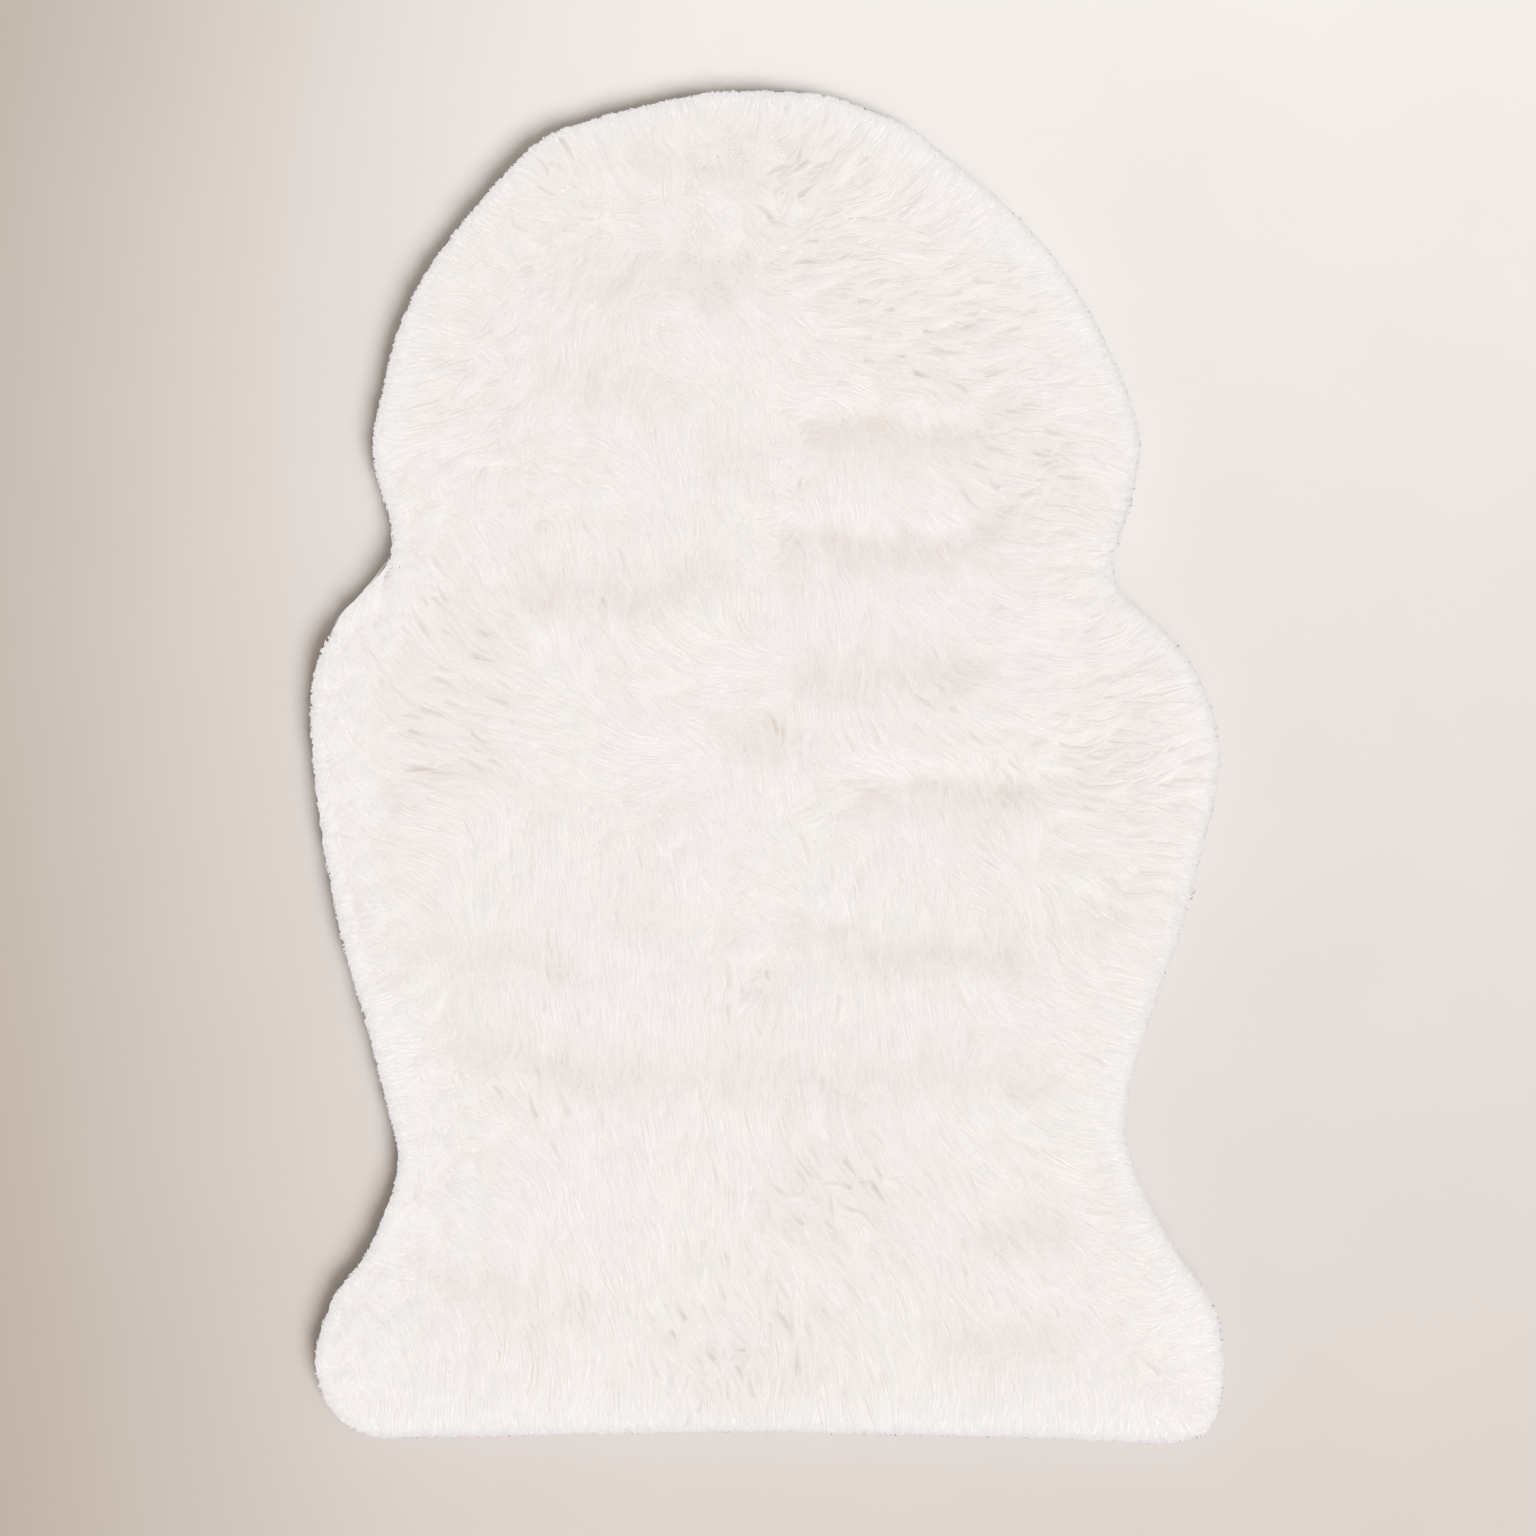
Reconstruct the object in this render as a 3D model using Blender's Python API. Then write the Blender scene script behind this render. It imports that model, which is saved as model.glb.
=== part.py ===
"""A natural sheepskin rug that lies flat: one whole pelt with its fleece, as one closed solid.

Metres, +Z up. The hide's underside lies on z = 0, +Y points to the head end and +X to the pelt's
right-hand side seen from above. The origin is under the middle of the outline.
"""
import math
import random

import bmesh
import bpy
from mathutils import Vector, noise
from mathutils.geometry import delaunay_2d_cdt
from mathutils.kdtree import KDTree

MM = 0.001
SAME_POINT = 1e-7  # points nearer than this are one

# Driving dimensions, metres.
LENGTH = 0.900  # head to tail, over the wool
CROWN = 0.031  # fleece height above the floor, away from the rim and the furrows
RIM_ROUNDING = 0.016  # how far in from the rim the crown takes to build up
LOCK_COUNT = 124  # locks of wool round the rim
LOCK_DEPTH = 0.0046  # how far a gap between two rim locks is set back
LOCK_LEAN = 0.0030  # how far a lock is swept along the rim, at most
FURROW_DEPTH = 0.0095  # deepest furrow between two rows of wool
LUMP_HEIGHT = 0.0022  # soft unevenness of the crown
LUMP_SIZE = Vector((0.052, 0.034))  # its spacing across and along the pelt
TOP_GRID = 0.0128  # spacing of the points on the fleece
FURROW_STEP = 0.0115  # spacing of the points along a furrow
UNDERSIDE_GRID = 0.055  # spacing of the points on the flat underside
OUTLINE_STEPS = 12  # points on the smooth outline from one drawn point to the next
LEAST_GAP = 0.7  # how near two points on the fleece may be, as a share of their spacing
SEED = 11

# How the locks round the rim differ: the lowest and highest value of each.
GAP_SHIFT = (-0.12, 0.12)  # a gap's place, in widths of a lock
GAP_DEPTH = (0.6, 1.2)  # how far a gap is set back, as a share of LOCK_DEPTH
LOCK_SET_BACK = (0.0, 0.3)  # the same for a lock's side
LOCK_LIFT = (-0.0008, 0.0012)  # how much higher a lock lies, metres
GAP_LIFT = -0.001

# The cut pelt's outline, clockwise from the middle of the head end: x, y in mm, drawn 900 mm long.
OUTLINE_LENGTH_MM = 900.0
OUTLINE_MM = (
    # head end, from its middle to the right side
    (0, 450), (40, 447), (74, 435), (97, 425), (112, 412), (144, 387), (172, 361), (196, 332),
    (216, 300), (232, 268), (244, 236), (248, 213), (245, 192),
    # right neck and shoulder
    (237, 162), (230, 145), (230, 126), (239, 111), (256, 98), (278, 75), (294, 44), (301, 12),
    (298, -18), (288, -59),
    # right flank and the waist behind it
    (275, -108), (258, -157), (243, -205), (238, -240), (242, -262), (257, -296), (278, -331),
    # right hind corner
    (292, -350), (301, -371), (304, -398), (302, -423), (292, -443), (272, -450),
    # tail end, a nearly straight cut
    (230, -449), (160, -446), (76, -444.5), (0, -442.5), (-78, -443.5), (-160, -445), (-228, -446),
    # left hind corner
    (-262, -446), (-280, -438), (-296, -419), (-301, -395), (-297, -374), (-286, -349), (-270, -329),
    # left waist and flank
    (-259, -307), (-249, -281), (-246, -256), (-254, -222), (-267, -171), (-281, -124), (-290, -82),
    (-298, -36), (-303, 12),
    # left shoulder and neck
    (-304, 47), (-299, 73), (-284, 99), (-261, 124), (-250, 143), (-251, 165), (-259, 190),
    (-263, 214),
    # left side of the head end
    (-257, 248), (-247, 287), (-231, 323), (-209, 355), (-184, 385), (-152, 417), (-118, 431),
    (-80, 441), (-40, 449),
)

# Where a lock's two sides stand between one gap and the next.
LOCK_SIDES = (0.28, 0.70)

# Furrows between the rows of wool: the ends of each one's line and its half width in mm, and its
# depth as a share of FURROW_DEPTH.
FURROW_COLUMNS = ("x0", "y0", "x1", "y1", "half_width", "depth")
FURROWS_MM = (
    # across the head
    (-118, 389, -18, 398, 9, 0.60), (-18, 397, 38, 418, 11, 1.00), (-142, 364, -118, 357, 9, 0.45),
    (-146, 328, -135, 318, 9, 0.65), (-128, 304, -45, 317, 8, 0.80), (-45, 317, 5, 346, 10, 1.00),
    (95, 328, 108, 327, 8, 0.75), (62, 282, 92, 282, 9, 0.60), (92, 284, 135, 278, 11, 1.00),
    (135, 278, 150, 250, 9, 0.75), (-112, 258, -75, 258, 9, 0.80), (-172, 250, -118, 237, 9, 0.50),
    (-245, 218, -225, 215, 9, 0.65), (22, 228, 68, 218, 8, 0.60), (68, 219, 128, 228, 9, 0.90),
    (128, 228, 152, 242, 10, 1.00), (-52, 202, -12, 208, 8, 0.90), (-172, 195, -132, 191, 9, 0.40),
    # across the neck
    (15, 145, 75, 145, 9, 0.70), (75, 146, 122, 153, 9, 0.90), (122, 152, 152, 182, 11, 1.00),
    (-212, 158, -192, 148, 9, 0.90), (-172, 117, -85, 113, 9, 0.80), (-68, 125, -32, 132, 8, 0.90),
    (-212, 97, -182, 101, 10, 0.95), (-235, 75, -212, 75, 9, 0.80),
    # across the shoulders
    (22, 61, 95, 51, 9, 0.90), (112, 68, 175, 75, 9, 0.80), (-85, 2, -45, -5, 10, 0.60),
    (-25, 15, 22, 25, 10, 0.80), (-262, -15, -228, 8, 11, 0.95), (52, -15, 115, -22, 9, 0.75),
    (115, -22, 162, -15, 9, 0.90), (162, -15, 208, 2, 11, 1.00), (-192, -28, -118, -18, 10, 0.45),
    # across the flanks
    (-108, -97, -65, -103, 9, 0.95), (-15, -103, 12, -101, 9, 0.80), (55, -115, 155, -118, 10, 0.95),
    (165, -105, 228, -99, 10, 0.80), (-222, -125, -185, -137, 10, 0.95),
    (-185, -137, -112, -134, 10, 0.50), (-15, -145, 42, -122, 10, 0.80),
    (182, -125, 228, -145, 9, 0.60), (-232, -169, -185, -185, 10, 0.75),
    (-152, -189, -112, -195, 9, 0.80), (-112, -195, -32, -201, 10, 0.50),
    (28, -199, 108, -202, 12, 0.70), (115, -215, 195, -209, 10, 0.60),
    # across the rump
    (8, -265, 55, -285, 9, 0.75), (55, -285, 82, -312, 9, 0.95), (135, -299, 182, -302, 11, 0.90),
    (-132, -292, -112, -302, 9, 0.70), (-238, -303, -230, -306, 9, 0.70),
    (-225, -315, -165, -327, 9, 0.95), (-138, -341, -98, -348, 9, 0.85),
    (-255, -335, -245, -348, 9, 0.80), (-72, -369, -18, -385, 12, 0.70),
    (-18, -385, 42, -379, 9, 0.80), (115, -362, 175, -365, 12, 0.70), (128, -379, 188, -387, 9, 0.70),
    (268, -379, 288, -374, 9, 0.80),
)

# The rim's section from the floor up: height and distance in from the outline in mm, and the share
# of a rim lock's depth and height that shows there.
RIM_COLUMNS = ("height", "inset", "lock_share")
RIM_MM = (
    (0.0, 7.0, 0.0),  # underside of the hide
    (3.0, 7.0, 0.0),  # upper edge of the hide
    (9.5, 0.0, 1.0),  # tips of the rim locks
    (18.0, 2.4, 0.8),  # backs of the locks
    (24.0, 8.5, 0.4),  # where they run into the fleece
)

WOOL_COLOUR = (0.880, 0.831, 0.791, 1.0)
WOOL_ROUGHNESS = 0.85


def clear_scene():
    for obj in list(bpy.data.objects):
        bpy.data.objects.remove(obj, do_unlink=True)


def catmull_rom(before, start, end, after, share):
    """A point between start and end on the smooth curve through all four."""
    return 0.5 * (
        2 * start
        + (end - before) * share
        + (2 * before - 5 * start + 4 * end - after) * share**2
        + (3 * start - before - 3 * end + after) * share**3
    )


def outline_curve():
    """The outline as a closed smooth curve, metres."""
    scale = LENGTH / OUTLINE_LENGTH_MM
    knots = [Vector(point) * scale for point in OUTLINE_MM]
    count = len(knots)
    curve = []
    for index in range(count):
        four = [knots[(index + offset) % count] for offset in (-1, 0, 1, 2)]
        curve += [catmull_rom(*four, step / OUTLINE_STEPS) for step in range(OUTLINE_STEPS)]
    return curve


class Outline:
    """The closed curve by distance along it, with the way in at each point."""

    def __init__(self, curve):
        self.curve = curve
        self.along = [0.0]
        for start, end in zip(curve, curve[1:] + curve[:1]):
            self.along.append(self.along[-1] + (end - start).length)
        self.tree = KDTree(len(curve))
        for index, point in enumerate(curve):
            self.tree.insert(point.to_3d(), index)
        self.tree.balance()

    def inward(self, index):
        """The unit vector into the pelt: to the right of the clockwise curve."""
        tangent = self.curve[(index + 1) % len(self.curve)] - self.curve[index - 1]
        return Vector((tangent.y, -tangent.x)).normalized()

    def at(self, share):
        """The point and the way in at a share of the whole way round."""
        distance = (share % 1.0) * self.along[-1]
        index = max(i for i, along in enumerate(self.along[:-1]) if along <= distance)
        span = self.along[index + 1] - self.along[index]
        part = (distance - self.along[index]) / span
        following = (index + 1) % len(self.curve)
        point = self.curve[index].lerp(self.curve[following], part)
        inward = self.inward(index).lerp(self.inward(following), part)
        return point, inward.normalized()

    def depth(self, point):
        """How far the point lies inside the outline; below 0 outside."""
        nearest, index, distance = self.tree.find(point.to_3d())
        return math.copysign(distance, (point - nearest.to_2d()).dot(self.inward(index)))


def furrow_lines():
    """Each furrow as its two ends, half width and depth, in metres."""
    scale = LENGTH / OUTLINE_LENGTH_MM
    lines = []
    for row in FURROWS_MM:
        furrow = dict(zip(FURROW_COLUMNS, row))
        start = Vector((furrow["x0"], furrow["y0"])) * scale
        end = Vector((furrow["x1"], furrow["y1"])) * scale
        lines.append((start, end, furrow["half_width"] * scale, furrow["depth"] * FURROW_DEPTH))
    return lines


def furrow_drop(point, lines):
    """How far the furrows lower the fleece here: the deepest one counts."""
    drop = 0.0
    for start, end, half_width, depth in lines:
        run = end - start
        share = min(max((point - start).dot(run) / run.length_squared, 0.0), 1.0)
        away = (point - start.lerp(end, share)).length
        drop = max(drop, depth * math.exp(-((away / half_width) ** 2)))
    return drop


def crown_height(point, depth, lines):
    """The fleece's height: it builds up from the rim, with lumps, and dips at the furrows."""
    rim_height = RIM_MM[-1][0] * MM
    rim_inset = RIM_MM[-1][1] * MM
    build_up = 1.0 - math.exp(-max(depth - rim_inset, 0.0) / RIM_ROUNDING)
    lump = noise.noise(Vector((point.x / LUMP_SIZE.x, point.y / LUMP_SIZE.y, 0.0)))
    relief = LUMP_HEIGHT * lump - furrow_drop(point, lines)
    return rim_height + build_up * (CROWN - rim_height + relief)


def rim_columns(outline):
    """The rim's columns: a narrow gap, then the two sides of a lock. Each is its place on the outline,
    the way in, and how far it is set back, swept along and lifted."""
    chance = random.Random(SEED)
    columns = []
    for lock in range(LOCK_COUNT):
        start = lock + chance.uniform(*GAP_SHIFT)
        gap_set_back = LOCK_DEPTH * chance.uniform(*GAP_DEPTH)
        columns.append((*outline.at(start / LOCK_COUNT), gap_set_back, 0.0, GAP_LIFT))
        lean = chance.uniform(-LOCK_LEAN, LOCK_LEAN)
        lift = chance.uniform(*LOCK_LIFT)
        for side in LOCK_SIDES:
            set_back = LOCK_DEPTH * chance.uniform(*LOCK_SET_BACK)
            columns.append((*outline.at((start + side) / LOCK_COUNT), set_back, lean, lift))
    return columns


def rim_rings(outline):
    """The rim's rings of points, from the underside up."""
    columns = rim_columns(outline)
    rings = []
    for row in RIM_MM:
        section = dict(zip(RIM_COLUMNS, row))
        share = section["lock_share"]
        ring = []
        for point, inward, set_back, lean, lift in columns:
            inset = section["inset"] * MM + share * set_back
            along = Vector((-inward.y, inward.x)) * lean * share
            height = section["height"] * MM + share * lift
            ring.append((point + inward * inset + along).to_3d() + Vector((0, 0, height)))
        rings.append(ring)
    return rings


def grid_points(outline, spacing, margin):
    """Points of a triangular grid that lie further than the margin inside the outline."""
    row_height = spacing * math.sqrt(0.75)
    rows = math.ceil(LENGTH / 2 / row_height)
    points = []
    for row in range(-rows, rows + 1):
        for column in range(-rows, rows + 1):
            point = Vector(((column + 0.5 * (row % 2)) * spacing, row * row_height))
            if outline.depth(point) > margin:
                points.append(point)
    return points


def furrow_points(outline, lines, margin):
    """Points along the bottoms of the furrows, none too near another."""
    points = []
    for start, end, _half_width, _depth in lines:
        steps = max(1, round((end - start).length / FURROW_STEP))
        for step in range(steps + 1):
            point = start.lerp(end, step / steps)
            near = any((point - other).length < LEAST_GAP * FURROW_STEP for other in points)
            if not near and outline.depth(point) > margin:
                points.append(point)
    return points


def without_near(points, others, distance):
    """The points that keep this distance from all the others."""
    tree = KDTree(len(others))
    for index, other in enumerate(others):
        tree.insert(other.to_3d(), index)
    tree.balance()
    return [point for point in points if tree.find(point.to_3d())[2] >= distance]


def add_cap(bm, ring_verts, inner_points, height_at, faces_up):
    """Closes a ring of vertices with triangles over the inner points."""
    count = len(ring_verts)
    flat = [vert.co.to_2d() for vert in ring_verts] + inner_points
    edges = [(index, (index + 1) % count) for index in range(count)]
    inside_edges_only = 1
    result = delaunay_2d_cdt(flat, edges, [], inside_edges_only, SAME_POINT)
    triangles, origins = result[2], result[3]
    verts = list(ring_verts)
    for point in inner_points:
        verts.append(bm.verts.new((point.x, point.y, height_at(point))))
    for triangle in triangles:
        corners = [verts[origins[index][0]] for index in triangle]
        across = (corners[1].co - corners[0].co).cross(corners[2].co - corners[0].co)
        if (across.z > 0) != faces_up:
            corners.reverse()
        bm.faces.new(corners)


def centre_over_origin(bm):
    """Moves the pelt sideways until the middle of its box is over the origin."""
    middle = Vector((0.0, 0.0, 0.0))
    for axis in (0, 1):
        values = [vert.co[axis] for vert in bm.verts]
        middle[axis] = (min(values) + max(values)) / 2
    bmesh.ops.translate(bm, verts=bm.verts[:], vec=-middle)


def build_pelt():
    """The whole pelt: the rim's rings bridged one to the next, then the fleece and the underside."""
    outline = Outline(outline_curve())
    lines = furrow_lines()
    rings = rim_rings(outline)
    bm = bmesh.new()
    ring_verts = [[bm.verts.new(point) for point in ring] for ring in rings]
    for lower, upper in zip(ring_verts, ring_verts[1:]):
        for index in range(len(lower)):
            after = (index + 1) % len(lower)
            bm.faces.new((lower[after], lower[index], upper[index], upper[after]))

    top_margin = RIM_MM[-1][1] * MM + LEAST_GAP * TOP_GRID
    furrow_row = furrow_points(outline, lines, top_margin)
    grid = grid_points(outline, TOP_GRID, top_margin)
    top_points = furrow_row + without_near(grid, furrow_row, LEAST_GAP * TOP_GRID)
    add_cap(
        bm,
        ring_verts[-1],
        top_points,
        lambda point: crown_height(point, outline.depth(point), lines),
        faces_up=True,
    )
    underside_points = grid_points(outline, UNDERSIDE_GRID, LEAST_GAP * UNDERSIDE_GRID)
    add_cap(bm, ring_verts[0], underside_points, lambda point: 0.0, faces_up=False)
    bmesh.ops.triangulate(bm, faces=bm.faces[:])
    centre_over_origin(bm)

    mesh = bpy.data.meshes.new("sheepskin")
    bm.to_mesh(mesh)
    bm.free()
    mesh.shade_smooth()
    mesh.set_sharp_from_angle(angle=math.radians(60))
    return mesh


def wool_material():
    material = bpy.data.materials.new("wool")
    material.use_nodes = True
    shader = material.node_tree.nodes["Principled BSDF"]
    shader.inputs["Base Color"].default_value = WOOL_COLOUR
    shader.inputs["Roughness"].default_value = WOOL_ROUGHNESS
    shader.inputs["Metallic"].default_value = 0.0
    return material


def main():
    clear_scene()
    mesh = build_pelt()
    mesh.materials.append(wool_material())
    pelt = bpy.data.objects.new("sheepskin", mesh)
    bpy.context.scene.collection.objects.link(pelt)


main()
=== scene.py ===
"""The looks of a natural sheepskin rug that lies flat: a suede hide, a felted underwool on it, and the
long wool as single tapered strands that are combed in locks, in rows down the pelt and out over its rim.

Metres, +Z up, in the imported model's frame: the hide's underside lies on z = 0, +Y points to the head
end, and the origin is under the middle of the outline.
"""

import math

import bmesh
import bpy
import numpy as np
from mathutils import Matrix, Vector
from mathutils.bvhtree import BVHTree
from mathutils.kdtree import KDTree

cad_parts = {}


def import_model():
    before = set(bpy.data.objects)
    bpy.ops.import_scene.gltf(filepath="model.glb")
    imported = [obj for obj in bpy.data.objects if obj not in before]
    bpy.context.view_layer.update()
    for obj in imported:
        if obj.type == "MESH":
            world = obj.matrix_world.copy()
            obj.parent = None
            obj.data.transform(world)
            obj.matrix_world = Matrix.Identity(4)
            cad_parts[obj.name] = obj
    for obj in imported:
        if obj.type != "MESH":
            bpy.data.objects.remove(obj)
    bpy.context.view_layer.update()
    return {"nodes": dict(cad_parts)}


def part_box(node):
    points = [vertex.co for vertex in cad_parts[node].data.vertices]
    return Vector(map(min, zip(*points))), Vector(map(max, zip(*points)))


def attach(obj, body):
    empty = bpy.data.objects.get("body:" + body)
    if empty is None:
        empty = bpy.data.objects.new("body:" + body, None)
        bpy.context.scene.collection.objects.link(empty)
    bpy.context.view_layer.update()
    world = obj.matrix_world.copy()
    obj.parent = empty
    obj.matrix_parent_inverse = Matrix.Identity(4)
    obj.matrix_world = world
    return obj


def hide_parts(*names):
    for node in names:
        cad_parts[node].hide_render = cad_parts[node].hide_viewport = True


NODE = "sheepskin"
BODY = "root"
MM = 0.001
SEED = 5

# The hide and the felt on it.
HIDE_THICKNESS = 0.0022
HIDE_TOP_BAND = (0.0029, 0.0031)  # the heights between which the frame's ring round the hide lies
WOOL_OVERHANG = 0.007  # how far the wool reaches past the hide's edge
FELT_SINK = 0.0042  # how far the underwool's felt lies inside the fleece
FELT_WALL_SINK = 0.0020  # the same on its wall
FELT_EVERY = 2  # grid steps per cell
FELT_FOOT = -0.0175  # unrolled, where it meets the hide
FELT_SWIRL = 0.0008  # its small unevenness
FELT_CLOUD = 0.008  # size of its bumps
FELT_LET_IN = 0.0004  # how far it reaches into the hide
HIDE_EDGE = (0.0006, 0.0005)  # how far the hide's edge is eased, inwards and in height
HIDE_SHARP = math.radians(50)

# The plan: fields over the pelt, on a square grid.
PLAN_STEP = 0.0025
PLAN_MARGIN = 0.055
RING_STEP = 0.001
RING_SPAN = 3  # steps to each side over which its tangent is taken
WELD = 0.01 * MM  # points in one place differ by less
CLOUD_SPREAD = 0.28
CLOUD_BLURS = 2.5  # a patch's size over the blur's
HEIGHT_BLUR = 3.0  # in grid steps, as all the blurs
WAY_OUT_BLUR = 3.0
SURFACE_BLUR = 0.8
NORMAL_BLUR = 1.2
SHADE_BLUR = 1.0
RIM_SLOPE = 0.6  # the fleece's rise inwards of the rim's section, where the frame gives none

# The rim's section. Unrolled is the distance inside the outline, measured over the wool, and below 0
# it goes on down the wall.
SECTION_MM = (  # unrolled, depth inside the outline, height
    (-18.0, 2.8, 0.9),
    (-15.0, 1.7, 3.4),
    (-8.8, 0.2, 9.5),
    (-4.0, 0.8, 14.2),
    (0.0, 2.4, 18.0),
    (4.3, 5.2, 21.2),
    (8.5, 8.5, 24.0),
)
LOWEST_TIP = -0.0175  # unrolled
TRIM_PLACES = (0.15, 1.0, 12)  # shares of a lock's length at which its height is looked at, and how many
LOWEST_WOOL = 0.0012
TRIM_SPREAD = 0.010  # how much higher up the wall a strand may end

# Which way the wool lies: headings in degrees, counterclockwise from the pelt's right-hand side.
TAILWARD = -90.0
TAILWARD_PULL = 0.30
RIM_PULL = 4.0
RIM_REACH = 0.034
FLOW_PULL = 1.5
FLOW_BLUR = 2.4  # in grid steps
STAND_SPREAD = 45.0  # the flow's divergence per metre at which the wool stands
STAND_LEAN = math.radians(55)
STAND_BLUR = 1.5
STAND_SHORTER = 0.35  # of a lock's length
FLOW_MM = (  # x, y, heading, reach
    # head end
    (0, 418, 75, 22), (-20, 400, -82, 14), (30, 396, 45, 26), (62, 392, 52, 28), (92, 380, 60, 26),
    (20, 378, 10, 20), (-32, 378, -55, 22), (-75, 398, 135, 30), (-140, 378, 140, 42),
    (-70, 355, 165, 24), (-205, 320, 155, 45), (-130, 320, -120, 30), (45, 362, 10, 24),
    (28, 325, 35, 24), (62, 322, 45, 24), (92, 335, 15, 30), (120, 320, 0, 36), (-35, 310, -58, 26),
    (15, 305, -22, 26), (60, 290, 18, 28), (108, 282, 4, 40), (150, 300, 8, 40), (-212, 290, 166, 36),
    (-55, 278, -20, 24), (-228, 255, 184, 36), (-205, 228, 200, 32), (-130, 285, -100, 40),
    (70, 268, -8, 28), (25, 232, 35, 20), (95, 232, -18, 26), (118, 222, -64, 22), (165, 215, 5, 24),
    (190, 248, 12, 40), (60, 215, -78, 30), (182, 192, 14, 26), (105, 192, -20, 28),
    (-190, 222, 205, 24), (-132, 205, 12, 24), (-100, 183, -28, 24), (-240, 190, 188, 24),
    # neck
    (-212, 165, -45, 26), (-196, 145, -32, 22), (-232, 128, -42, 22), (-205, 118, -50, 24),
    (5, 153, 40, 20), (200, 158, 40, 32), (162, 138, -22, 26), (104, 144, -62, 24), (222, 136, 50, 20),
    (190, 128, 30, 22), (45, 125, -84, 36), (-100, 118, -84, 34), (-243, 100, -58, 26),
    (-190, 98, -12, 20), (88, 110, -28, 26), (154, 114, -14, 24), (-78, 88, -6, 26),
    # shoulders and flanks
    (-272, 62, -62, 30), (-250, 68, -42, 24), (-222, 72, 5, 16), (-230, 48, -4, 26),
    (-184, 46, -20, 26), (-285, 15, -72, 28), (160, 68, 2, 32), (205, 72, 12, 36), (245, 78, 38, 30),
    (-10, 64, 14, 20), (-33, 48, 36, 18), (84, 48, -84, 36), (175, 38, -10, 26), (215, 30, 16, 34),
    (262, 30, 34, 36), (104, 28, -6, 28), (-146, 20, -4, 30), (-225, 8, 4, 30), (-275, -22, -64, 26),
    (215, 8, -4, 28), (196, 2, -24, 20), (260, 2, 28, 30), (-78, -6, 18, 26), (64, -12, 20, 20),
    (110, -40, -84, 32), (160, -25, -58, 26), (-240, -28, 0, 26), (236, -18, 8, 28),
    (200, -28, -24, 20), (222, -34, -6, 26), (272, -36, 14, 28), (-258, -52, -8, 28),
    (205, -56, -2, 22), (240, -60, 6, 26), (139, -59, -18, 24), (-12, -58, -26, 22),
    (229, -95, -26, 28), (-256, -102, -10, 26), (0, -100, 10, 20), (192, -108, -62, 22),
    (120, -118, -80, 34), (-250, -128, -8, 26), (-196, -136, -78, 28), (214, -144, 6, 24),
    (168, -155, -24, 24), (240, -165, 8, 28), (-248, -170, 165, 30), (-205, -215, -40, 30),
    (-250, -220, -150, 26), (-90, -140, -88, 60),
    # rump and tail end
    (6, -205, -98, 24), (112, -242, -66, 28), (134, -248, -34, 24), (200, -235, -10, 34),
    (-60, -240, -76, 50), (-190, -250, -30, 34), (49, -279, -42, 30), (28, -294, -42, 30),
    (-22, -294, -102, 22), (66, -304, -38, 30), (215, -290, -38, 36), (150, -308, -42, 34),
    (34, -316, -48, 32), (-90, -310, -78, 40), (-215, -300, -12, 28), (-177, -348, -62, 34),
    (-255, -350, -52, 26), (-130, -350, -74, 30), (163, -351, -48, 32), (-60, -374, -48, 24),
    (-35, -386, -24, 26), (39, -379, -68, 16), (60, -380, -28, 22), (240, -345, -30, 28),
    (272, -372, 35, 26), (-250, -385, -60, 26), (215, -375, -45, 30),
)
# How deep in from the rim the wool still turns outwards.
TURN_MM = (  # x, y, how deep in metres, reach
    (-285, 60, 0.002, 70), (-262, 120, 0.002, 45), (-285, -20, 0.002, 60), (-225, 150, 0.004, 30),
    (-270, -90, 0.004, 45), (240, 110, 0.020, 40), (0, -440, 0.045, 90), (140, -440, 0.045, 90),
    (-140, -440, 0.045, 90), (-275, -370, 0.002, 55), (-215, -290, 0.004, 30),
)

# Gaps between locks, drawn as thin bent drops of strands laid over the wool: the cream wool beneath, and
# painted shade under the locks' edges. Each is widest and deepest at its root end, has one crisp edge and
# fades away from it. Most stand in groups.
GAP_TRIES = 14000
GAP_SELDOM = 0.07  # how many there are away from the groups, where locks are strong
GAP_BY_ROWS = 0.12  # how many stand in the rows' shade
GAP_GROUPS_MM = (  # x, y, share of the spots that hold one, reach
    (24, 396, 0.8, 30), (22, 347, 1.0, 24), (72, 306, 0.7, 18), (112, 286, 0.9, 36), (168, 193, 1.0, 28),
    (-209, 90, 0.9, 26), (-209, 26, 0.8, 32), (-11, -148, 0.9, 18), (212, -6, 0.7, 28), (150, -24, 0.5, 22),
    (44, -286, 0.9, 34), (-30, -376, 1.0, 36), (20, -378, 0.7, 20), (-140, 396, 0.35, 40),
    (-100, 112, 0.35, 20), (118, 40, 0.35, 26), (-8, 20, 0.5, 20), (-150, -205, 0.3, 40),
)
GAP_GROUP = 0.026  # size of the patches in which the others stand
GAP_APART = (0.020, 0.0075)  # along and across the wool
GAP_MARGIN = 0.012
GAP_LENGTH = (0.009, 0.030)
GAP_WIDTH = (0.0028, 0.0066)
# how deep their painted shade is
GAP_DEPTH = (0.42, 1.05)
GAP_BOW = 0.09  # of its length
GAP_TURN = math.radians(8)
GAP_STRANDS = 0.56e6  # per square metre
GAP_LIFT = 0.0036
GAP_STRAND_WIDTH = 0.0011
GAP_FEWEST = 6  # strands in one
SHORT_WIDTH = 0.4  # the most width that the shortest get, a share of the longest's
GAP_START = 0.4  # the last share of its length at which a strand starts
GAP_END = (0.6, 1.0)
GAP_SHADE_SPREAD = (0.7, 1.0)
GAP_LIFT_SPREAD = (0.8, 1.2)
GAP_END_LIFT = 0.4  # of the lift at its middle
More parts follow.
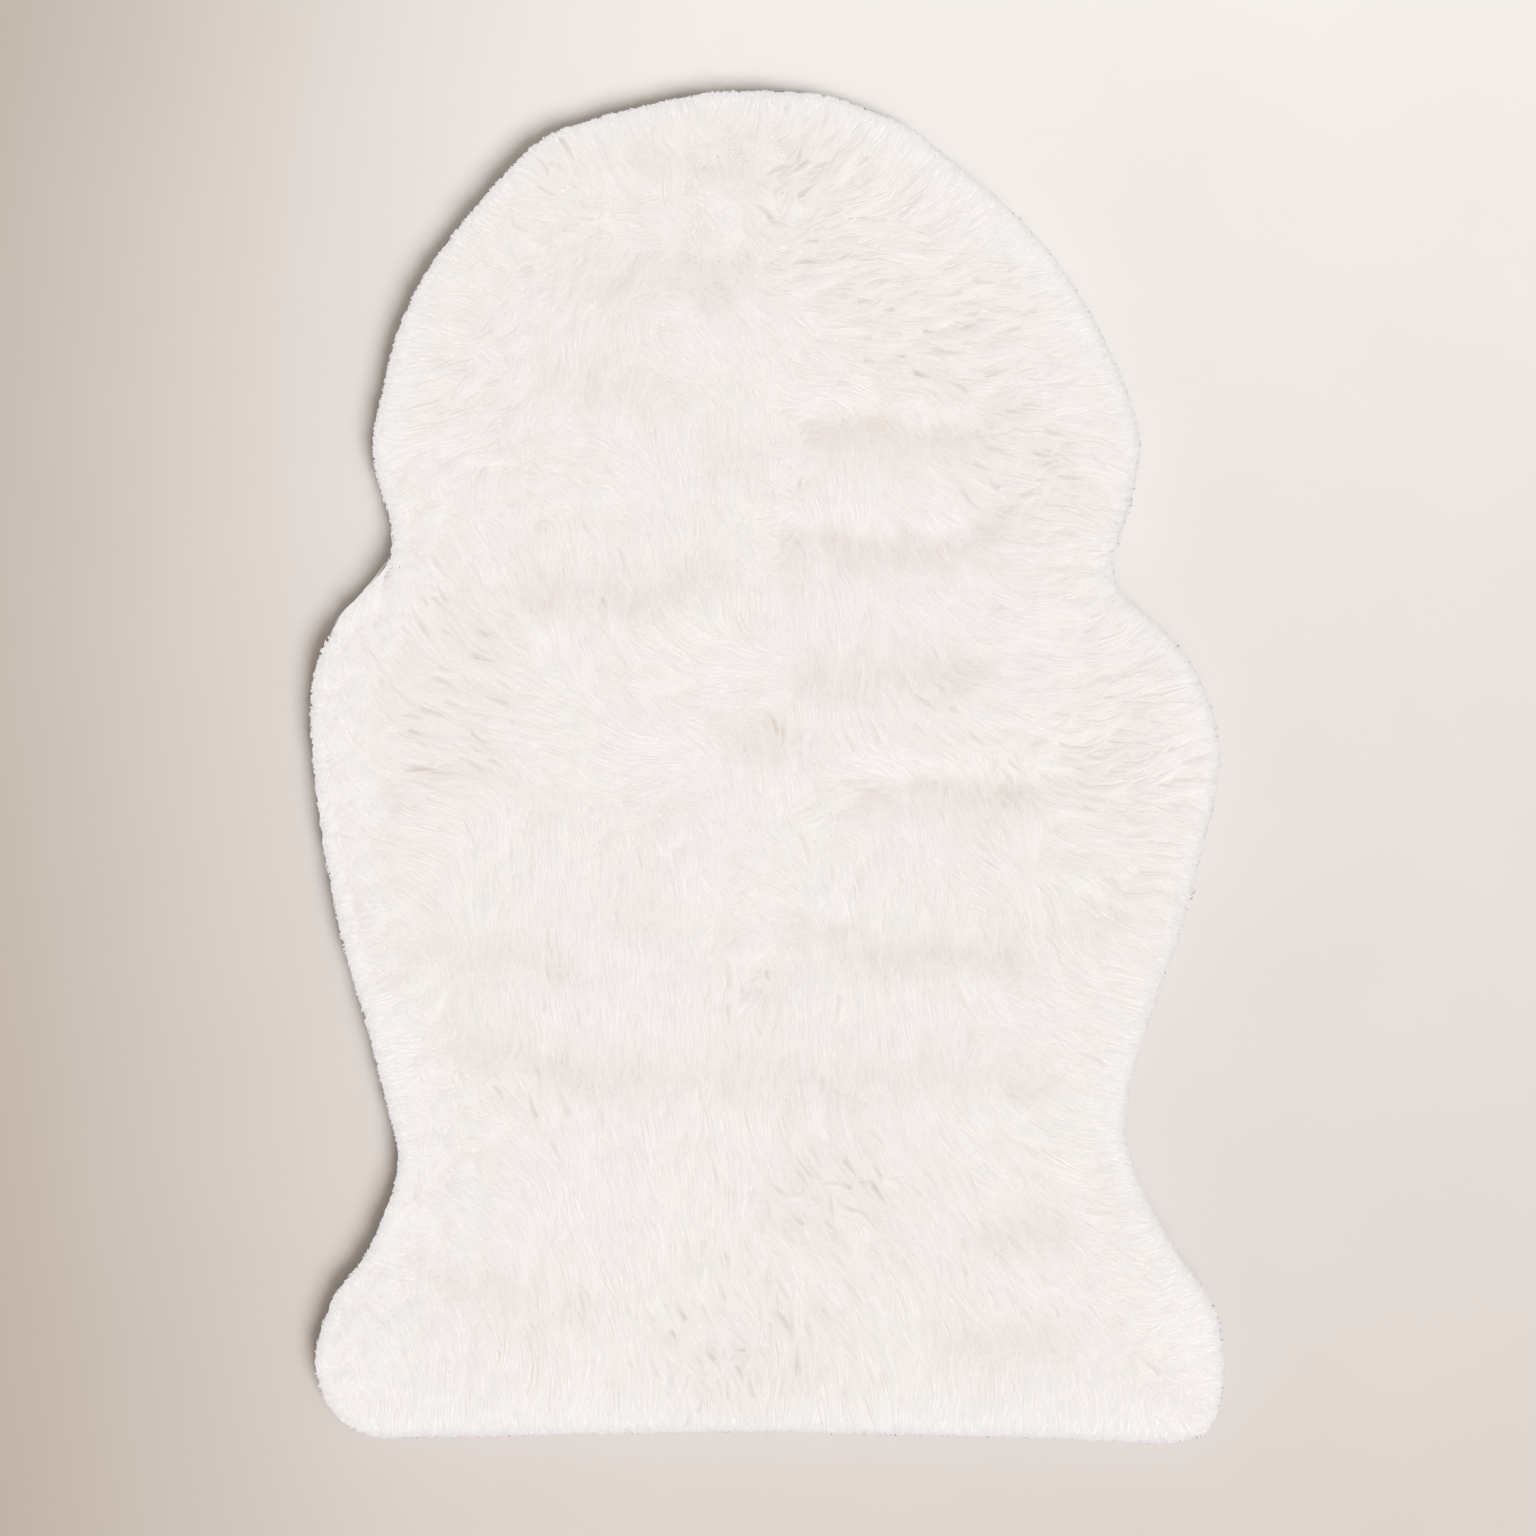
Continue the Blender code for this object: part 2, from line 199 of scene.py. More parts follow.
GAP_TAPER = 0.8  # power that its width falls by
GAP_FADE = 0.5  # the same for its shade
GAP_ONSET = 3  # how soon its shade sets in
GAP_SHALLOW = 1.5  # the more, the fewer deep ones there are
GROUP_DEEPER = 2.5  # how soon the groups' gaps get their full depth
# The halo: painted shade in the wool round each gap.
HALO_REACH = 0.0055  # across the gap
HALO_ALONG = 0.6  # of its length
HALO_SHADE = 0.17

# Rows: each row's wool ends at its edge and lies over the roots of the next one. Both ends of the edge,
# how deep the painted shade at it is, and the side it lies on: 1 over the lower row's roots, -1 over the
# upper row's tips.
ROW_REACH = 0.020
ROW_WAVE = 0.016  # size of the waves of a row's edge
ROW_WAVE_DEPTH = 0.012
ROW_END = 0.02  # over which it fades in at its ends
ROW_FRONT = 0.003  # over which its shade starts
ROW_INSIDE = (0.1, 0.2)  # the lower row's field: less is before its edge, and more past it
ROW_PLACES = 21  # at which a lock is looked at
ROW_END_SPREAD = 0.1  # share of a lock's length over which its strands end past the edge
ROW_CUT = 0.9  # share of the strands from above that end at its edge
LIP_REACH = 0.006
# painted highlight on the tips along a row's lip
LIP_HIGHLIGHT = 0.20
ROWS_MM = (  # x and y of both ends, depth, side
    (-158, 398, -20, 388, 0.6, -1), (-138, 312, -60, 310, 0.75, -1), (-60, 310, -5, 332, 0.75, -1),
    (-158, 250, -78, 248, 0.65, -1), (22, 232, 140, 226, 0.8, 1), (-41, 202, -5, 206, 0.6, -1),
    (8, 150, 128, 156, 0.8, 1), (128, 156, 165, 176, 0.5, 1), (-175, 108, -80, 106, 0.95, -1),
    (-80, 106, -24, 126, 0.9, -1), (16, 57, 144, 52, 0.9, -1), (-31, 10, 22, 14, 0.5, -1),
    (63, -4, 180, -10, 0.9, 1), (-225, -22, -130, -26, 0.35, -1), (-239, -128, -125, -142, 0.75, -1),
    (-110, -108, -65, -108, 0.5, -1), (15, -98, 60, -104, 0.6, 1), (50, -130, 177, -134, 0.8, -1),
    (-239, -180, -118, -212, 0.65, -1), (-118, -210, 30, -212, 0.6, -1), (30, -210, 190, -214, 0.6, -1),
    (137, -316, 200, -310, 0.6, -1), (110, -385, 205, -388, 0.6, -1), (-199, -360, -118, -368, 0.45, -1),
)

# How deep in from the rim the wool is white.
WHITE_REACH = 0.022
WHITE_MM = (  # x, y, how deep in metres, reach
    (205, 350, 0.062, 80), (125, 405, 0.052, 50), (235, 210, 0.040, 50), (60, 432, 0.042, 60),
    (-120, 410, 0.030, 50), (-240, 260, 0.055, 60), (-255, 110, 0.040, 50), (-290, 20, 0.040, 60),
    (280, 60, 0.055, 60), (285, -60, 0.035, 60), (-250, -210, 0.085, 55), (-225, -290, 0.060, 40),
    (240, -220, 0.045, 60), (-250, -400, 0.062, 70), (-100, -440, 0.052, 90), (80, -440, 0.048, 90),
    (250, -400, 0.060, 70),
)

# How strongly the wool parts into locks: 0 is calm, 1 is long separate locks.
CALM_LOCKS = 0.22
LOCKS_MM = (  # x, y, strength, reach
    (-210, 270, 0.5, 75), (-90, 395, 0.45, 50), (55, 345, 1.0, 75), (120, 285, 0.9, 45),
    (165, 190, 1.0, 50), (195, 145, 0.9, 40), (-218, 110, 1.0, 52), (-232, 30, 0.9, 52),
    (-245, -40, 0.7, 30), (210, 5, 1.0, 70), (215, -70, 0.8, 60), (-85, 98, 0.7, 40),
    (50, -285, 0.95, 80), (145, -300, 0.8, 45), (-150, -335, 0.7, 45), (-20, -375, 1.0, 50),
    (60, -378, 0.8, 40), (255, -350, 0.6, 30),
    (190, 395, 0.0, 90), (130, 400, 0.0, 36), (215, 290, 0.05, 50), (0, 442, 0.0, 40), (90, 425, 0.0, 50),
    (-90, 430, 0.05, 45), (270, 100, 0.05, 30), (0, -425, 0.05, 30), (120, -425, 0.05, 30),
    (-120, -425, 0.05, 30), (230, -425, 0.05, 30), (-230, -425, 0.05, 40), (-250, -235, 0.1, 40),
)

# Small whorls, where the tips stand in all directions over cream wool: middle and reach in mm.
WHORLS_MM = ((15, 352, 13), (162, 186, 15), (-2, -149, 13), (-14, -374, 20), (40, -282, 14))
WHORL_TURN = math.radians(45)
WHORL_SHORTER = 0.2  # of a lock's length

# The locks.
LOCK_SPACING = 0.0080
LOCK_JITTER = 0.42  # of the spacing
ROOT_REACH = -0.006  # how far down the wall roots stand, unrolled
FOOT_REACH = -0.026  # the same where the wool lies inwards over the rim
LOCK_STEPS = 8
LOCK_LENGTH = (0.027, 0.064)  # calm, and where the locks are strong
LOCK_LENGTH_SPREAD = 0.16
LOCK_LEAN = (math.radians(4), math.radians(6))
LOCK_BEND = (math.radians(9), math.radians(16))
LOCK_CURL = (math.radians(10), math.radians(70))  # the bend that neighbours share
CURL_CLOUD = 0.026
BEND_START = 0.3  # share of the length up to which a bend turns against its lean
LOCK_HALF_WIDTH = (0.0058, 0.0040)
LOCK_CLUMP = (0.15, 0.82)  # how far its strands close up towards the tips
LOCK_CLUMP_SPREAD = 0.08
LOCK_LIFT = (0.0003, 0.0016)
LOCK_DOME = 0.0008
LOCK_ROUNDING = (0.02, 0.09)  # how far the light turns over a lock's sides
LOCK_TONE = (0.025, 0.09)
LOCK_SHADE = (0.04, 0.13)  # painted shade on the locks that lie lowest
# how soon that painted shade grows as a lock lies lower
LEVEL_SHADE = 0.4
OUT_TURN = 0.3  # the change of the flow's outward part from wool that lies inwards to wool that hangs
STRAND_TONE = 0.04

# The short wool over the rim, under the locks. It hangs out from the hide's edge, and where the locks lie
# inwards it starts on the wall and lies with them.
RIM_STEP = 0.001
RIM_LAYERS = 5
RIM_LEAN = math.radians(12)
RIM_START = (-0.005, 0.004)  # distances outwards from the hide's edge
RIM_END = (0.018, 0.024)
RIM_FOOT = (0.006, 0.024)
RIM_LYING = (0.020, 0.034)  # the lying wool's length
RIM_LIFTS_MM = (-3.0, -0.8, -0.5, -0.4, -0.7)
RIM_LYING_LIFT = 0.0006
RIM_TONE = 0.12
RIM_ALONG = 0.97  # its shade, as along a strand: 0 at the roots, 1 at the tips
RIM_SPREAD = (0.7, 1.3)  # of the lifts
RIM_TURN = 0.4  # as OUT_TURN
RIM_LYING_SUNK = 0.3  # of the lifts, where the wool lies
RIM_STRAY = 0.0024  # how far single hairs stand off
RIM_SELDOM = 6  # the more, the fewer of them

# The strands. Lifts are heights over the fleece's surface from the root to the tip.
STRANDS = 105500
PIECES = ("wool_head", "wool_neck", "wool_shoulders", "wool_flanks", "wool_rump")
STRAND_POINTS = 5
STEPS = np.linspace(0.0, 1.0, STRAND_POINTS)
STRAND_VERTS = 2 * STRAND_POINTS - 1  # two at each point and one at the tip
STRAND_LIFTS_MM = (-6.5, -2.0, 0.5, 0.9, -0.5)
LIFT_SPREAD = (0.8, 1.25)
STRAND_START = (0.0, 0.24)  # of the lock's length
STRAND_END = (0.78, 1.0)
SHORTEST = 0.12  # of the lock's length, from start to end
CLOSING_RATE = 1.1  # how soon a lock's strands close up, and are raised
RAISED_RATE = 2.5
DOME_FALL = 0.4  # of the dome, half a width off the lock's middle
STAND_RISE = 0.8  # how much less deep the roots lie where the wool stands
FOOT_RISE = 0.92  # the same on the wall
ROW_RISE = 0.8  # the same in a lower row
LIP_POINTS = (1, 3)  # the points that are read for a row's lip
MOST_ASIDE = 2.2  # half widths off the lock's middle
FOOT_FADE = 0.008  # how far down the wall the lying wool's roots come to its surface
STRAND_WIDTH = (0.00145, 0.00105)  # calm, and where the locks are strong
STRAND_WIDTH_SHARES = (0.60, 1.0, 0.90, 0.62, 0.0)
WIDTH_SPREAD = (0.7, 1.3)
STRAND_ROLL = math.radians(14)
FACE_LIFT = 1.6  # how far the ribbons' faces turn up
WHOLE_SHARE = 0.6  # shorter strands than this share of a lock start less deep
UNDER_SHARE = 0.40  # share of the strands that lie lower and unclumped, creamier with painted shade
UNDER_LIFT = -0.0026
UNDER_LEAN = math.radians(24)
# The lower strands' painted shade, calm and where the locks are strong, and their darker tone as painted
# shade.
UNDER_SHADE = (0.06, 0.19)
UNDER_SHADE_TONE = 0.10
UNDER_ROUNDING = 0.3  # of the locks' rounding
EDGE_SHADE = (0.0, 0.18)  # painted shade along a lock's sides
EDGE_START = 0.7  # half widths off the lock's middle
# painted shade under a row's edge, in the wool's colour
ROW_SHADE = 0.31
ROW_SPREAD = (0.6, 1.0)
ROW_JITTER = 0.0025
# towards the roots: their cream, with painted shade deep in the wool
ROOT_SHADE = 0.16
LIGHT_RELIEF = 0.06  # how much of the fleece's slopes its light shows
WALL_LIGHT = 0.012  # the same for its wall
LIGHT_LIFT = 1.0  # how far the light's normals turn up, as wool passes light on
TONES = 8
TINTS = 8
TONE_MIDDLE = 0.55
TINT_SPREAD = 0.05
TINT_CLOUD = 0.055  # size of the patches of one tint
PASSING_BLUR = 2.0  # in grid steps
FEWEST_PASSING = 0.12  # of the most locks over one place
STRIP_MARGINS = (0.02, 0.2)  # round each strip of the bake's layout, along and across

# Colours, linear.
PINK_WOOL = (0.879, 0.837, 0.822, 1.0)
CREAM_WOOL = (0.874, 0.843, 0.814, 1.0)
WHITE_WOOL = (0.893, 0.861, 0.847, 1.0)
# The roots' cream, and also the colour of all painted shade in the wool and the felt.
ROOT_AND_SHADE_WOOL = (0.690, 0.595, 0.510, 1.0)
FELT_PALE = (0.880, 0.845, 0.818, 1.0)
FELT_DEEP = (0.845, 0.795, 0.755, 1.0)
# painted shade under the rows' edges, on the felt
FELT_SHADE = 0.4
# The tone's range: it differs at random, and carries painted shade on the lower strands and painted
# highlights on the rows' lips.
TONE_DEEP = (0.940, 0.927, 0.912, 1.0)
TONE_PALE = (1.045, 1.051, 1.060, 1.0)
HIDE_PALE = (0.760, 0.655, 0.535, 1.0)
HIDE_DEEP = (0.640, 0.520, 0.400, 1.0)
# The floor's colours carry painted light: darker at the tail's side, and deep on the left as painted shade.
FLOOR_PALE = ((0.735, 0.665, 0.620, 1.0), (0.915, 0.866, 0.823, 1.0))  # at the tail's side and the head's
FLOOR_DEEP = ((0.460, 0.375, 0.308, 1.0), (0.520, 0.445, 0.388, 1.0))

# Camera and light.
LENS = 100.0
CAMERA_HEIGHT = 2.856
CAMERA_AIM = (0.0003, -0.0005)
SUN_FROM = (0.76, -0.76, 1.0)
SUN_STRENGTH = 2.44
SUN_ANGLE = math.radians(27)
SUN_COLOUR = (1.0, 1.054, 1.121)
SKY_COLOUR = (1.0, 0.94, 0.865, 1.0)
SKY_STRENGTH = (0.86, 0.45)  # at the horizon and higher up
SKY_HEIGHTS = (0.02, 0.35)
FLOOR_SHADE = (-0.02, -0.70)  # where the floor's painted shade starts and is full
FLOOR_BULGE = 0.10  # how much farther right it starts at the head's side
FLOOR_ENDS = (-0.55, 0.55)
FLOOR_POWER = 1.5  # the more, the slower it sets in
FLOOR_MOST = 0.9  # of the full shade: it gets no deeper beyond the view's edge
FLOOR_SIDE = (-1.9, -0.515)  # where the shade ends on the left, and where it starts to
FLOOR_FRONT = (1.9, 0.515)  # the same to the head's and the tail's side
FLOOR_RADIUS = 24.0
FLOOR_Z = -0.0004
LIGHT_BOUNCES = 4


def unit(vectors):
    """The vectors at length 1, along the last axis."""
    length = np.linalg.norm(vectors, axis=-1, keepdims=True)
    return vectors / np.maximum(length, 1e-12)


def headings(angles):
    """Unit vectors in plan for angles in radians."""
    return np.stack([np.cos(angles), np.sin(angles)], axis=-1)


def smooth(values):
    """0 to 1 with no corner at either end."""
    share = np.clip(values, 0.0, 1.0)
    return share * share * (3.0 - 2.0 * share)


def blurred(field, sigma):
    """The field with a Gaussian blur of sigma grid steps."""
    reach = int(math.ceil(3 * sigma))
    kernel = np.exp(-0.5 * (np.arange(-reach, reach + 1) / sigma) ** 2)
    kernel /= kernel.sum()
    pad = [(reach, reach)] + [(0, 0)] * (field.ndim - 1)
    for axis in (0, 1):
        rows = field.swapaxes(0, axis)
        padded = np.pad(rows, pad, mode="edge")
        rows = sum(weight * padded[start:start + len(rows)] for start, weight in enumerate(kernel))
        field = rows.swapaxes(0, axis)
    return field


class Plan:
    """A square grid over the pelt, and the fields that are read between its points."""

    def __init__(self, low, high):
        self.origin = np.array([low.x - PLAN_MARGIN, low.y - PLAN_MARGIN])
        size = np.array([high.x + PLAN_MARGIN, high.y + PLAN_MARGIN]) - self.origin
        columns, rows = np.ceil(size / PLAN_STEP).astype(int) + 1
        self.x, self.y = np.meshgrid(
            self.origin[0] + np.arange(columns) * PLAN_STEP,
            self.origin[1] + np.arange(rows) * PLAN_STEP,
        )
        self.grid = np.stack([self.x, self.y], axis=-1)
        self.fields = {}

    def at(self, name, points):
        """The named field's values at points, whose last axis is x, y."""
        return self.read(self.fields[name], points)

    def read(self, field, points):
        """A field's values at points, whose last axis is x, y."""
        rows, columns = field.shape[:2]
        at = (points - self.origin) / PLAN_STEP
        column = np.clip(at[..., 0], 0, columns - 1.001)
        row = np.clip(at[..., 1], 0, rows - 1.001)
        left = column.astype(int)
        below = row.astype(int)
        across = column - left
        up = row - below
        if field.ndim == 3:
            across = across[..., None]
            up = up[..., None]
        lower = field[below, left] * (1 - across) + field[below, left + 1] * across
        upper = field[below + 1, left] * (1 - across) + field[below + 1, left + 1] * across
        return lower * (1 - up) + upper * up

    def nearness(self, x_mm, y_mm, reach_mm):
        """1 at a place, and less and less round it."""
        away = np.hypot(self.x - x_mm * MM, self.y - y_mm * MM)
        return np.exp(-((away / (reach_mm * MM)) ** 2))

    def hills(self, rows_mm, start):
        """A field that starts at one value and is pulled to each row's near its place."""
        field = np.full(self.x.shape, start)
        for x, y, value, reach in rows_mm:
            field += (value - field) * self.nearness(x, y, reach)
        return field

    def cloud(self, chance, size):
        """Soft random patches of this size, 0 to 1."""
        noise = blurred(chance.normal(size=self.x.shape), size / PLAN_STEP / CLOUD_BLURS)
        return smooth(0.5 + CLOUD_SPREAD * noise / noise.std())


def frame_mesh(node):
    """The node's points, with those in one place made one, and its triangles."""
    mesh = node.data
    points = np.array([vert.co for vert in mesh.vertices])
    mesh.calc_loop_triangles()
    triangles = np.array([triangle.vertices for triangle in mesh.loop_triangles])
    _, first, index = np.unique(
        np.round(points / WELD).astype(int), axis=0, return_index=True, return_inverse=True
    )
    return points[first], index.reshape(-1)[triangles]


def ring_between(points, triangles, low, high):
    """The closed loop of points between two heights, counterclockwise, as plan points."""
    inside = (points[:, 2] > low) & (points[:, 2] < high)
    beside = {index: set() for index in np.flatnonzero(inside)}
    for triangle in triangles:
        for start, end in zip(triangle, np.roll(triangle, -1)):
            if inside[start] and inside[end]:
                beside[start].add(end)
                beside[end].add(start)
    start = next(iter(beside))
    loop = [start, next(iter(beside[start]))]
    while True:
        following = beside[loop[-1]] - {loop[-2]}
        step = following.pop()
        if step == start:
            break
        loop.append(step)
    ring = points[loop][:, :2]
    return ring if shoelace(ring) > 0 else ring[::-1]


def shoelace(ring):
    """The ring's area, above 0 if it is counterclockwise."""
    after = np.roll(ring, -1, axis=0)
    return 0.5 * float(np.sum(ring[:, 0] * after[:, 1] - ring[:, 1] * after[:, 0]))


def walked(ring, step):
    """Points a step apart along the closed ring."""
    closed = np.vstack([ring, ring[:1]])
    along = np.concatenate([[0.0], np.cumsum(np.linalg.norm(np.diff(closed, axis=0), axis=1))])
    places = np.linspace(0.0, along[-1], int(along[-1] / step), endpoint=False)
    return np.stack([np.interp(places, along, closed[:, axis]) for axis in (0, 1)], axis=-1)


def rim_fields(plan, hide_ring):
    """How far each grid point lies inside the wool's outline, and the way out from it."""
    ring = walked(hide_ring, RING_STEP)
    tangent = np.roll(ring, -RING_SPAN, axis=0) - np.roll(ring, RING_SPAN, axis=0)
    ring_out = unit(np.stack([tangent[:, 1], -tangent[:, 0]], axis=-1))
    tree = KDTree(len(ring))
    for index, point in enumerate(ring):
        tree.insert((point[0], point[1], 0.0), index)
    tree.balance()
    nearest = [tree.find((x, y, 0.0))[1] for x, y in plan.grid.reshape(-1, 2)]
    nearest = np.array(nearest).reshape(plan.x.shape)
    away = plan.grid - ring[nearest]
    outside = np.sign(np.sum(away * ring_out[nearest], axis=-1))
    depth = WOOL_OVERHANG - outside * np.linalg.norm(away, axis=-1)
    way_out = unit(blurred(ring_out[nearest], WAY_OUT_BLUR))
    return depth, way_out


def fleece_height(plan, points, triangles, depth):
    """The fleece's height, read off the frame and carried on evenly past the rim's upper edge."""
    tree = BVHTree.FromPolygons([Vector(point) for point in points], triangles.tolist())
    rim_depth, rim_height = np.array(SECTION_MM[-1][1:]) * MM
    height = rim_height + (depth - rim_depth) * RIM_SLOPE
    down = Vector((0.0, 0.0, -1.0))
    for row, column in np.argwhere(depth > rim_depth):
        start = Vector((plan.x[row, column], plan.y[row, column], 1.0))
        hit = tree.ray_cast(start, down)[0]
        if hit is not None:
            height[row, column] = hit.z
    return blurred(height, HEIGHT_BLUR)


def fleece_surface(plan, depth, way_out, height):
    """The fleece's surface over the unrolled plan: the place of each grid point."""
    unrolled, rim_depth, rim_height = np.array(SECTION_MM).T * MM
    wall = depth < unrolled[-1]
    real_depth = np.where(wall, np.interp(depth, unrolled, rim_depth), depth)
    z = np.where(wall, np.interp(depth, unrolled, rim_height), height)
    shift = way_out * (depth - real_depth)[..., None]
    surface = np.stack([plan.x + shift[..., 0], plan.y + shift[..., 1], z], axis=-1)
    return blurred(surface, SURFACE_BLUR)


def top_normals(height, relief):
    """The unit normals of the fleece's top, with this share of its slopes."""
    dz_dy, dz_dx = np.gradient(height, PLAN_STEP)
    return unit(np.stack([-dz_dx * relief, -dz_dy * relief, np.ones_like(height)], axis=-1))


def fleece_normals(depth, way_out, height):
    """The fleece's normals, and the softer ones that its wool takes its light by."""
    unrolled, rim_depth, rim_height = np.array(SECTION_MM).T * MM
    middle = 0.5 * (unrolled[1:] + unrolled[:-1])
    slope_out = np.interp(depth, middle, np.diff(rim_height))
    slope_up = np.interp(depth, middle, np.diff(rim_depth))
    wall = unit(np.concatenate([way_out * slope_out[..., None], slope_up[..., None]], axis=-1))
    share = smooth((depth - unrolled[-2]) / (2 * (unrolled[-1] - unrolled[-2])))[..., None]
    normal = wall * (1 - share) + top_normals(height, 1.0) * share
    light = wall * WALL_LIGHT * (1 - share) + top_normals(height, LIGHT_RELIEF) * share
    light = blurred(light, NORMAL_BLUR) + np.array([0.0, 0.0, LIGHT_LIFT])
    return unit(blurred(normal, NORMAL_BLUR)), unit(light)


def flow_field(plan, depth, way_out):
    """The way the wool lies, as a unit vector over the plan."""
    flow = np.broadcast_to(headings(math.radians(TAILWARD)) * TAILWARD_PULL, way_out.shape).copy()
    turn = plan.hills(TURN_MM, RIM_REACH)
    flow += way_out * (RIM_PULL * np.exp(-((np.maximum(depth, 0.0) / turn) ** 2)))[..., None]
    for x, y, heading, reach in FLOW_MM:
        pull = FLOW_PULL * plan.nearness(x, y, reach)
        flow += headings(math.radians(heading)) * pull[..., None]
    return unit(blurred(flow, FLOW_BLUR))


def parting_field(flow):
    """1 where the wool lies away on both sides and so stands, 0 where it lies one way."""
    spread = np.gradient(flow[..., 0], PLAN_STEP, axis=1) + np.gradient(flow[..., 1], PLAN_STEP, axis=0)
    return blurred(smooth(blurred(spread, STAND_BLUR) / STAND_SPREAD), STAND_BLUR)


def row_fields(plan, wave):
    """The rows' painted shade, painted highlights on their lips, and where each lower row's wool starts."""
    shade, lip, lower = np.zeros((3, *plan.x.shape))
    for x0, y0, x1, y1, depth, side in ROWS_MM:
        start = np.array([x0, y0]) * MM
        run = np.array([x1, y1]) * MM - start
        share = ((plan.x - start[0]) * run[0] + (plan.y - start[1]) * run[1]) / (run @ run)
        below = start[1] + np.clip(share, 0.0, 1.0) * run[1] - plan.y + ROW_WAVE_DEPTH * (wave - 0.5)
        length = np.linalg.norm(run)
        ends = smooth(share * length / ROW_END + 0.5) * smooth((1 - share) * length / ROW_END + 0.5)
        strength = depth * ends
        away = side * below
        fade = smooth(away / ROW_FRONT + 1.0) * np.exp(-((np.maximum(away, 0.0) / ROW_REACH) ** 2))
        shade = np.maximum(shade, strength * fade)
        lip = np.maximum(lip, strength * np.exp(-(((away + LIP_REACH) / LIP_REACH) ** 2)))
        lower = np.maximum(lower, strength * ((below > 0) & (below < ROW_REACH)))
    return blurred(shade, SHADE_BLUR), blurred(lip, SHADE_BLUR), lower


def tint_field(plan, depth, chance):
    """The wool's tint: from pinkish at 0 over cream at a half to white at 1, mostly along the rim."""
    reach = plan.hills(WHITE_MM, WHITE_REACH)
    white = np.exp(-((np.maximum(depth, 0.0) / reach) ** 4))
    return 0.5 * plan.cloud(chance, TINT_CLOUD) * (1 - white) + white


def whorl_field(plan):
    """1 in the middle of a whorl, 0 away from them."""
    field = np.zeros(plan.x.shape)
    for x, y, reach in WHORLS_MM:
        field = np.maximum(field, plan.nearness(x, y, reach))
    return field


def between(ends, share):
    """From the first end to the second by share."""
    return ends[0] + (ends[1] - ends[0]) * share


def lock_roots(plan, chance):
    """The roots of the locks: an uneven triangular grid over the fleece and the top of its wall."""
    row_height = LOCK_SPACING * math.sqrt(0.75)
    columns = int(plan.x.shape[1] * PLAN_STEP / LOCK_SPACING)
    rows = int(plan.x.shape[0] * PLAN_STEP / row_height)
    column, row = np.meshgrid(np.arange(columns), np.arange(rows))
    points = np.stack([(column + 0.5 * (row % 2)) * LOCK_SPACING, row * row_height], axis=-1)
    points = points.reshape(-1, 2) + plan.origin
    points += chance.uniform(-1, 1, points.shape) * LOCK_JITTER * LOCK_SPACING
    outwards = np.sum(plan.at("flow", points) * plan.at("way_out", points), axis=-1)
    reach = between((FOOT_REACH, ROOT_REACH), smooth(outwards / OUT_TURN + 0.5))
    return points[plan.at("depth", points) > reach]


def comb_locks(plan, chance):
    """Each lock's line over the plan, with its own lean, bend, length and character."""
    roots = lock_roots(plan, chance)
    count = len(roots)
    strength = plan.at("locks", roots)
    whorl = plan.at("whorl", roots)
    length = between(LOCK_LENGTH, strength) * (1 + LOCK_LENGTH_SPREAD * chance.normal(size=count))
    stand = plan.at("stand", roots)
    length *= (1 - WHORL_SHORTER * whorl) * (1 - STAND_SHORTER * stand)
    lean = between(LOCK_LEAN, strength) * chance.normal(size=count)
    lean += (WHORL_TURN * whorl + STAND_LEAN * stand) * chance.normal(size=count)
    bend = (between(LOCK_BEND, strength) + WHORL_TURN * whorl) * chance.normal(size=count)
    bend += between(LOCK_CURL, strength) * (2 * plan.at("curl", roots) - 1)
    level = chance.normal(size=count)
    line = np.empty((count, LOCK_STEPS + 1, 2))
    line[:, 0] = roots
    for step in range(LOCK_STEPS):
        way = plan.at("flow", line[:, step])
        turn = lean + bend * ((step + 0.5) / LOCK_STEPS - BEND_START)
        angle = np.arctan2(way[:, 1], way[:, 0]) + turn
        line[:, step + 1] = line[:, step] + headings(angle) * (length / LOCK_STEPS)[:, None]
    return {
        "line": line,
        "side": lock_sides(line),
        "unrolled": plan.at("depth", line),
        "strength": strength,
        "stand": stand,
        "lift": between(LOCK_LIFT, strength) * level,
        "shade": between(LOCK_SHADE, strength) * smooth(0.5 - LEVEL_SHADE * level),
        "clump": between(LOCK_CLUMP, strength) + LOCK_CLUMP_SPREAD * chance.normal(size=count),
        "tone": chance.normal(size=count),
    }


def lock_sides(line):
    """The unit vectors to the left of each lock's line, at its points."""
    along = np.gradient(line, axis=1)
    return unit(np.stack([-along[..., 1], along[..., 0]], axis=-1))


def at_share(values, share):
    """What each strand's lock holds at shares of its length."""
    place = np.clip(share, 0, 1) * LOCK_STEPS
    before = np.minimum(place.astype(int), LOCK_STEPS - 1)
    part = place - before
    strand = np.arange(len(values))[:, None]
    start = values[strand, before]
    end = values[strand, before + 1]
    if values.ndim == 3:
        part = part[..., None]
    return start + (end - start) * part


def last_share(lock, lowest):
    """The share of its lock's length at which a strand meets the trim at the foot of the wall."""
    places = np.linspace(*TRIM_PLACES)
    share = np.broadcast_to(places, (len(lowest), len(places)))
    beyond = at_share(lock["unrolled"], share) < lowest[:, None]
    return places[np.where(beyond.any(axis=1), beyond.argmax(axis=1), len(places) - 1)]


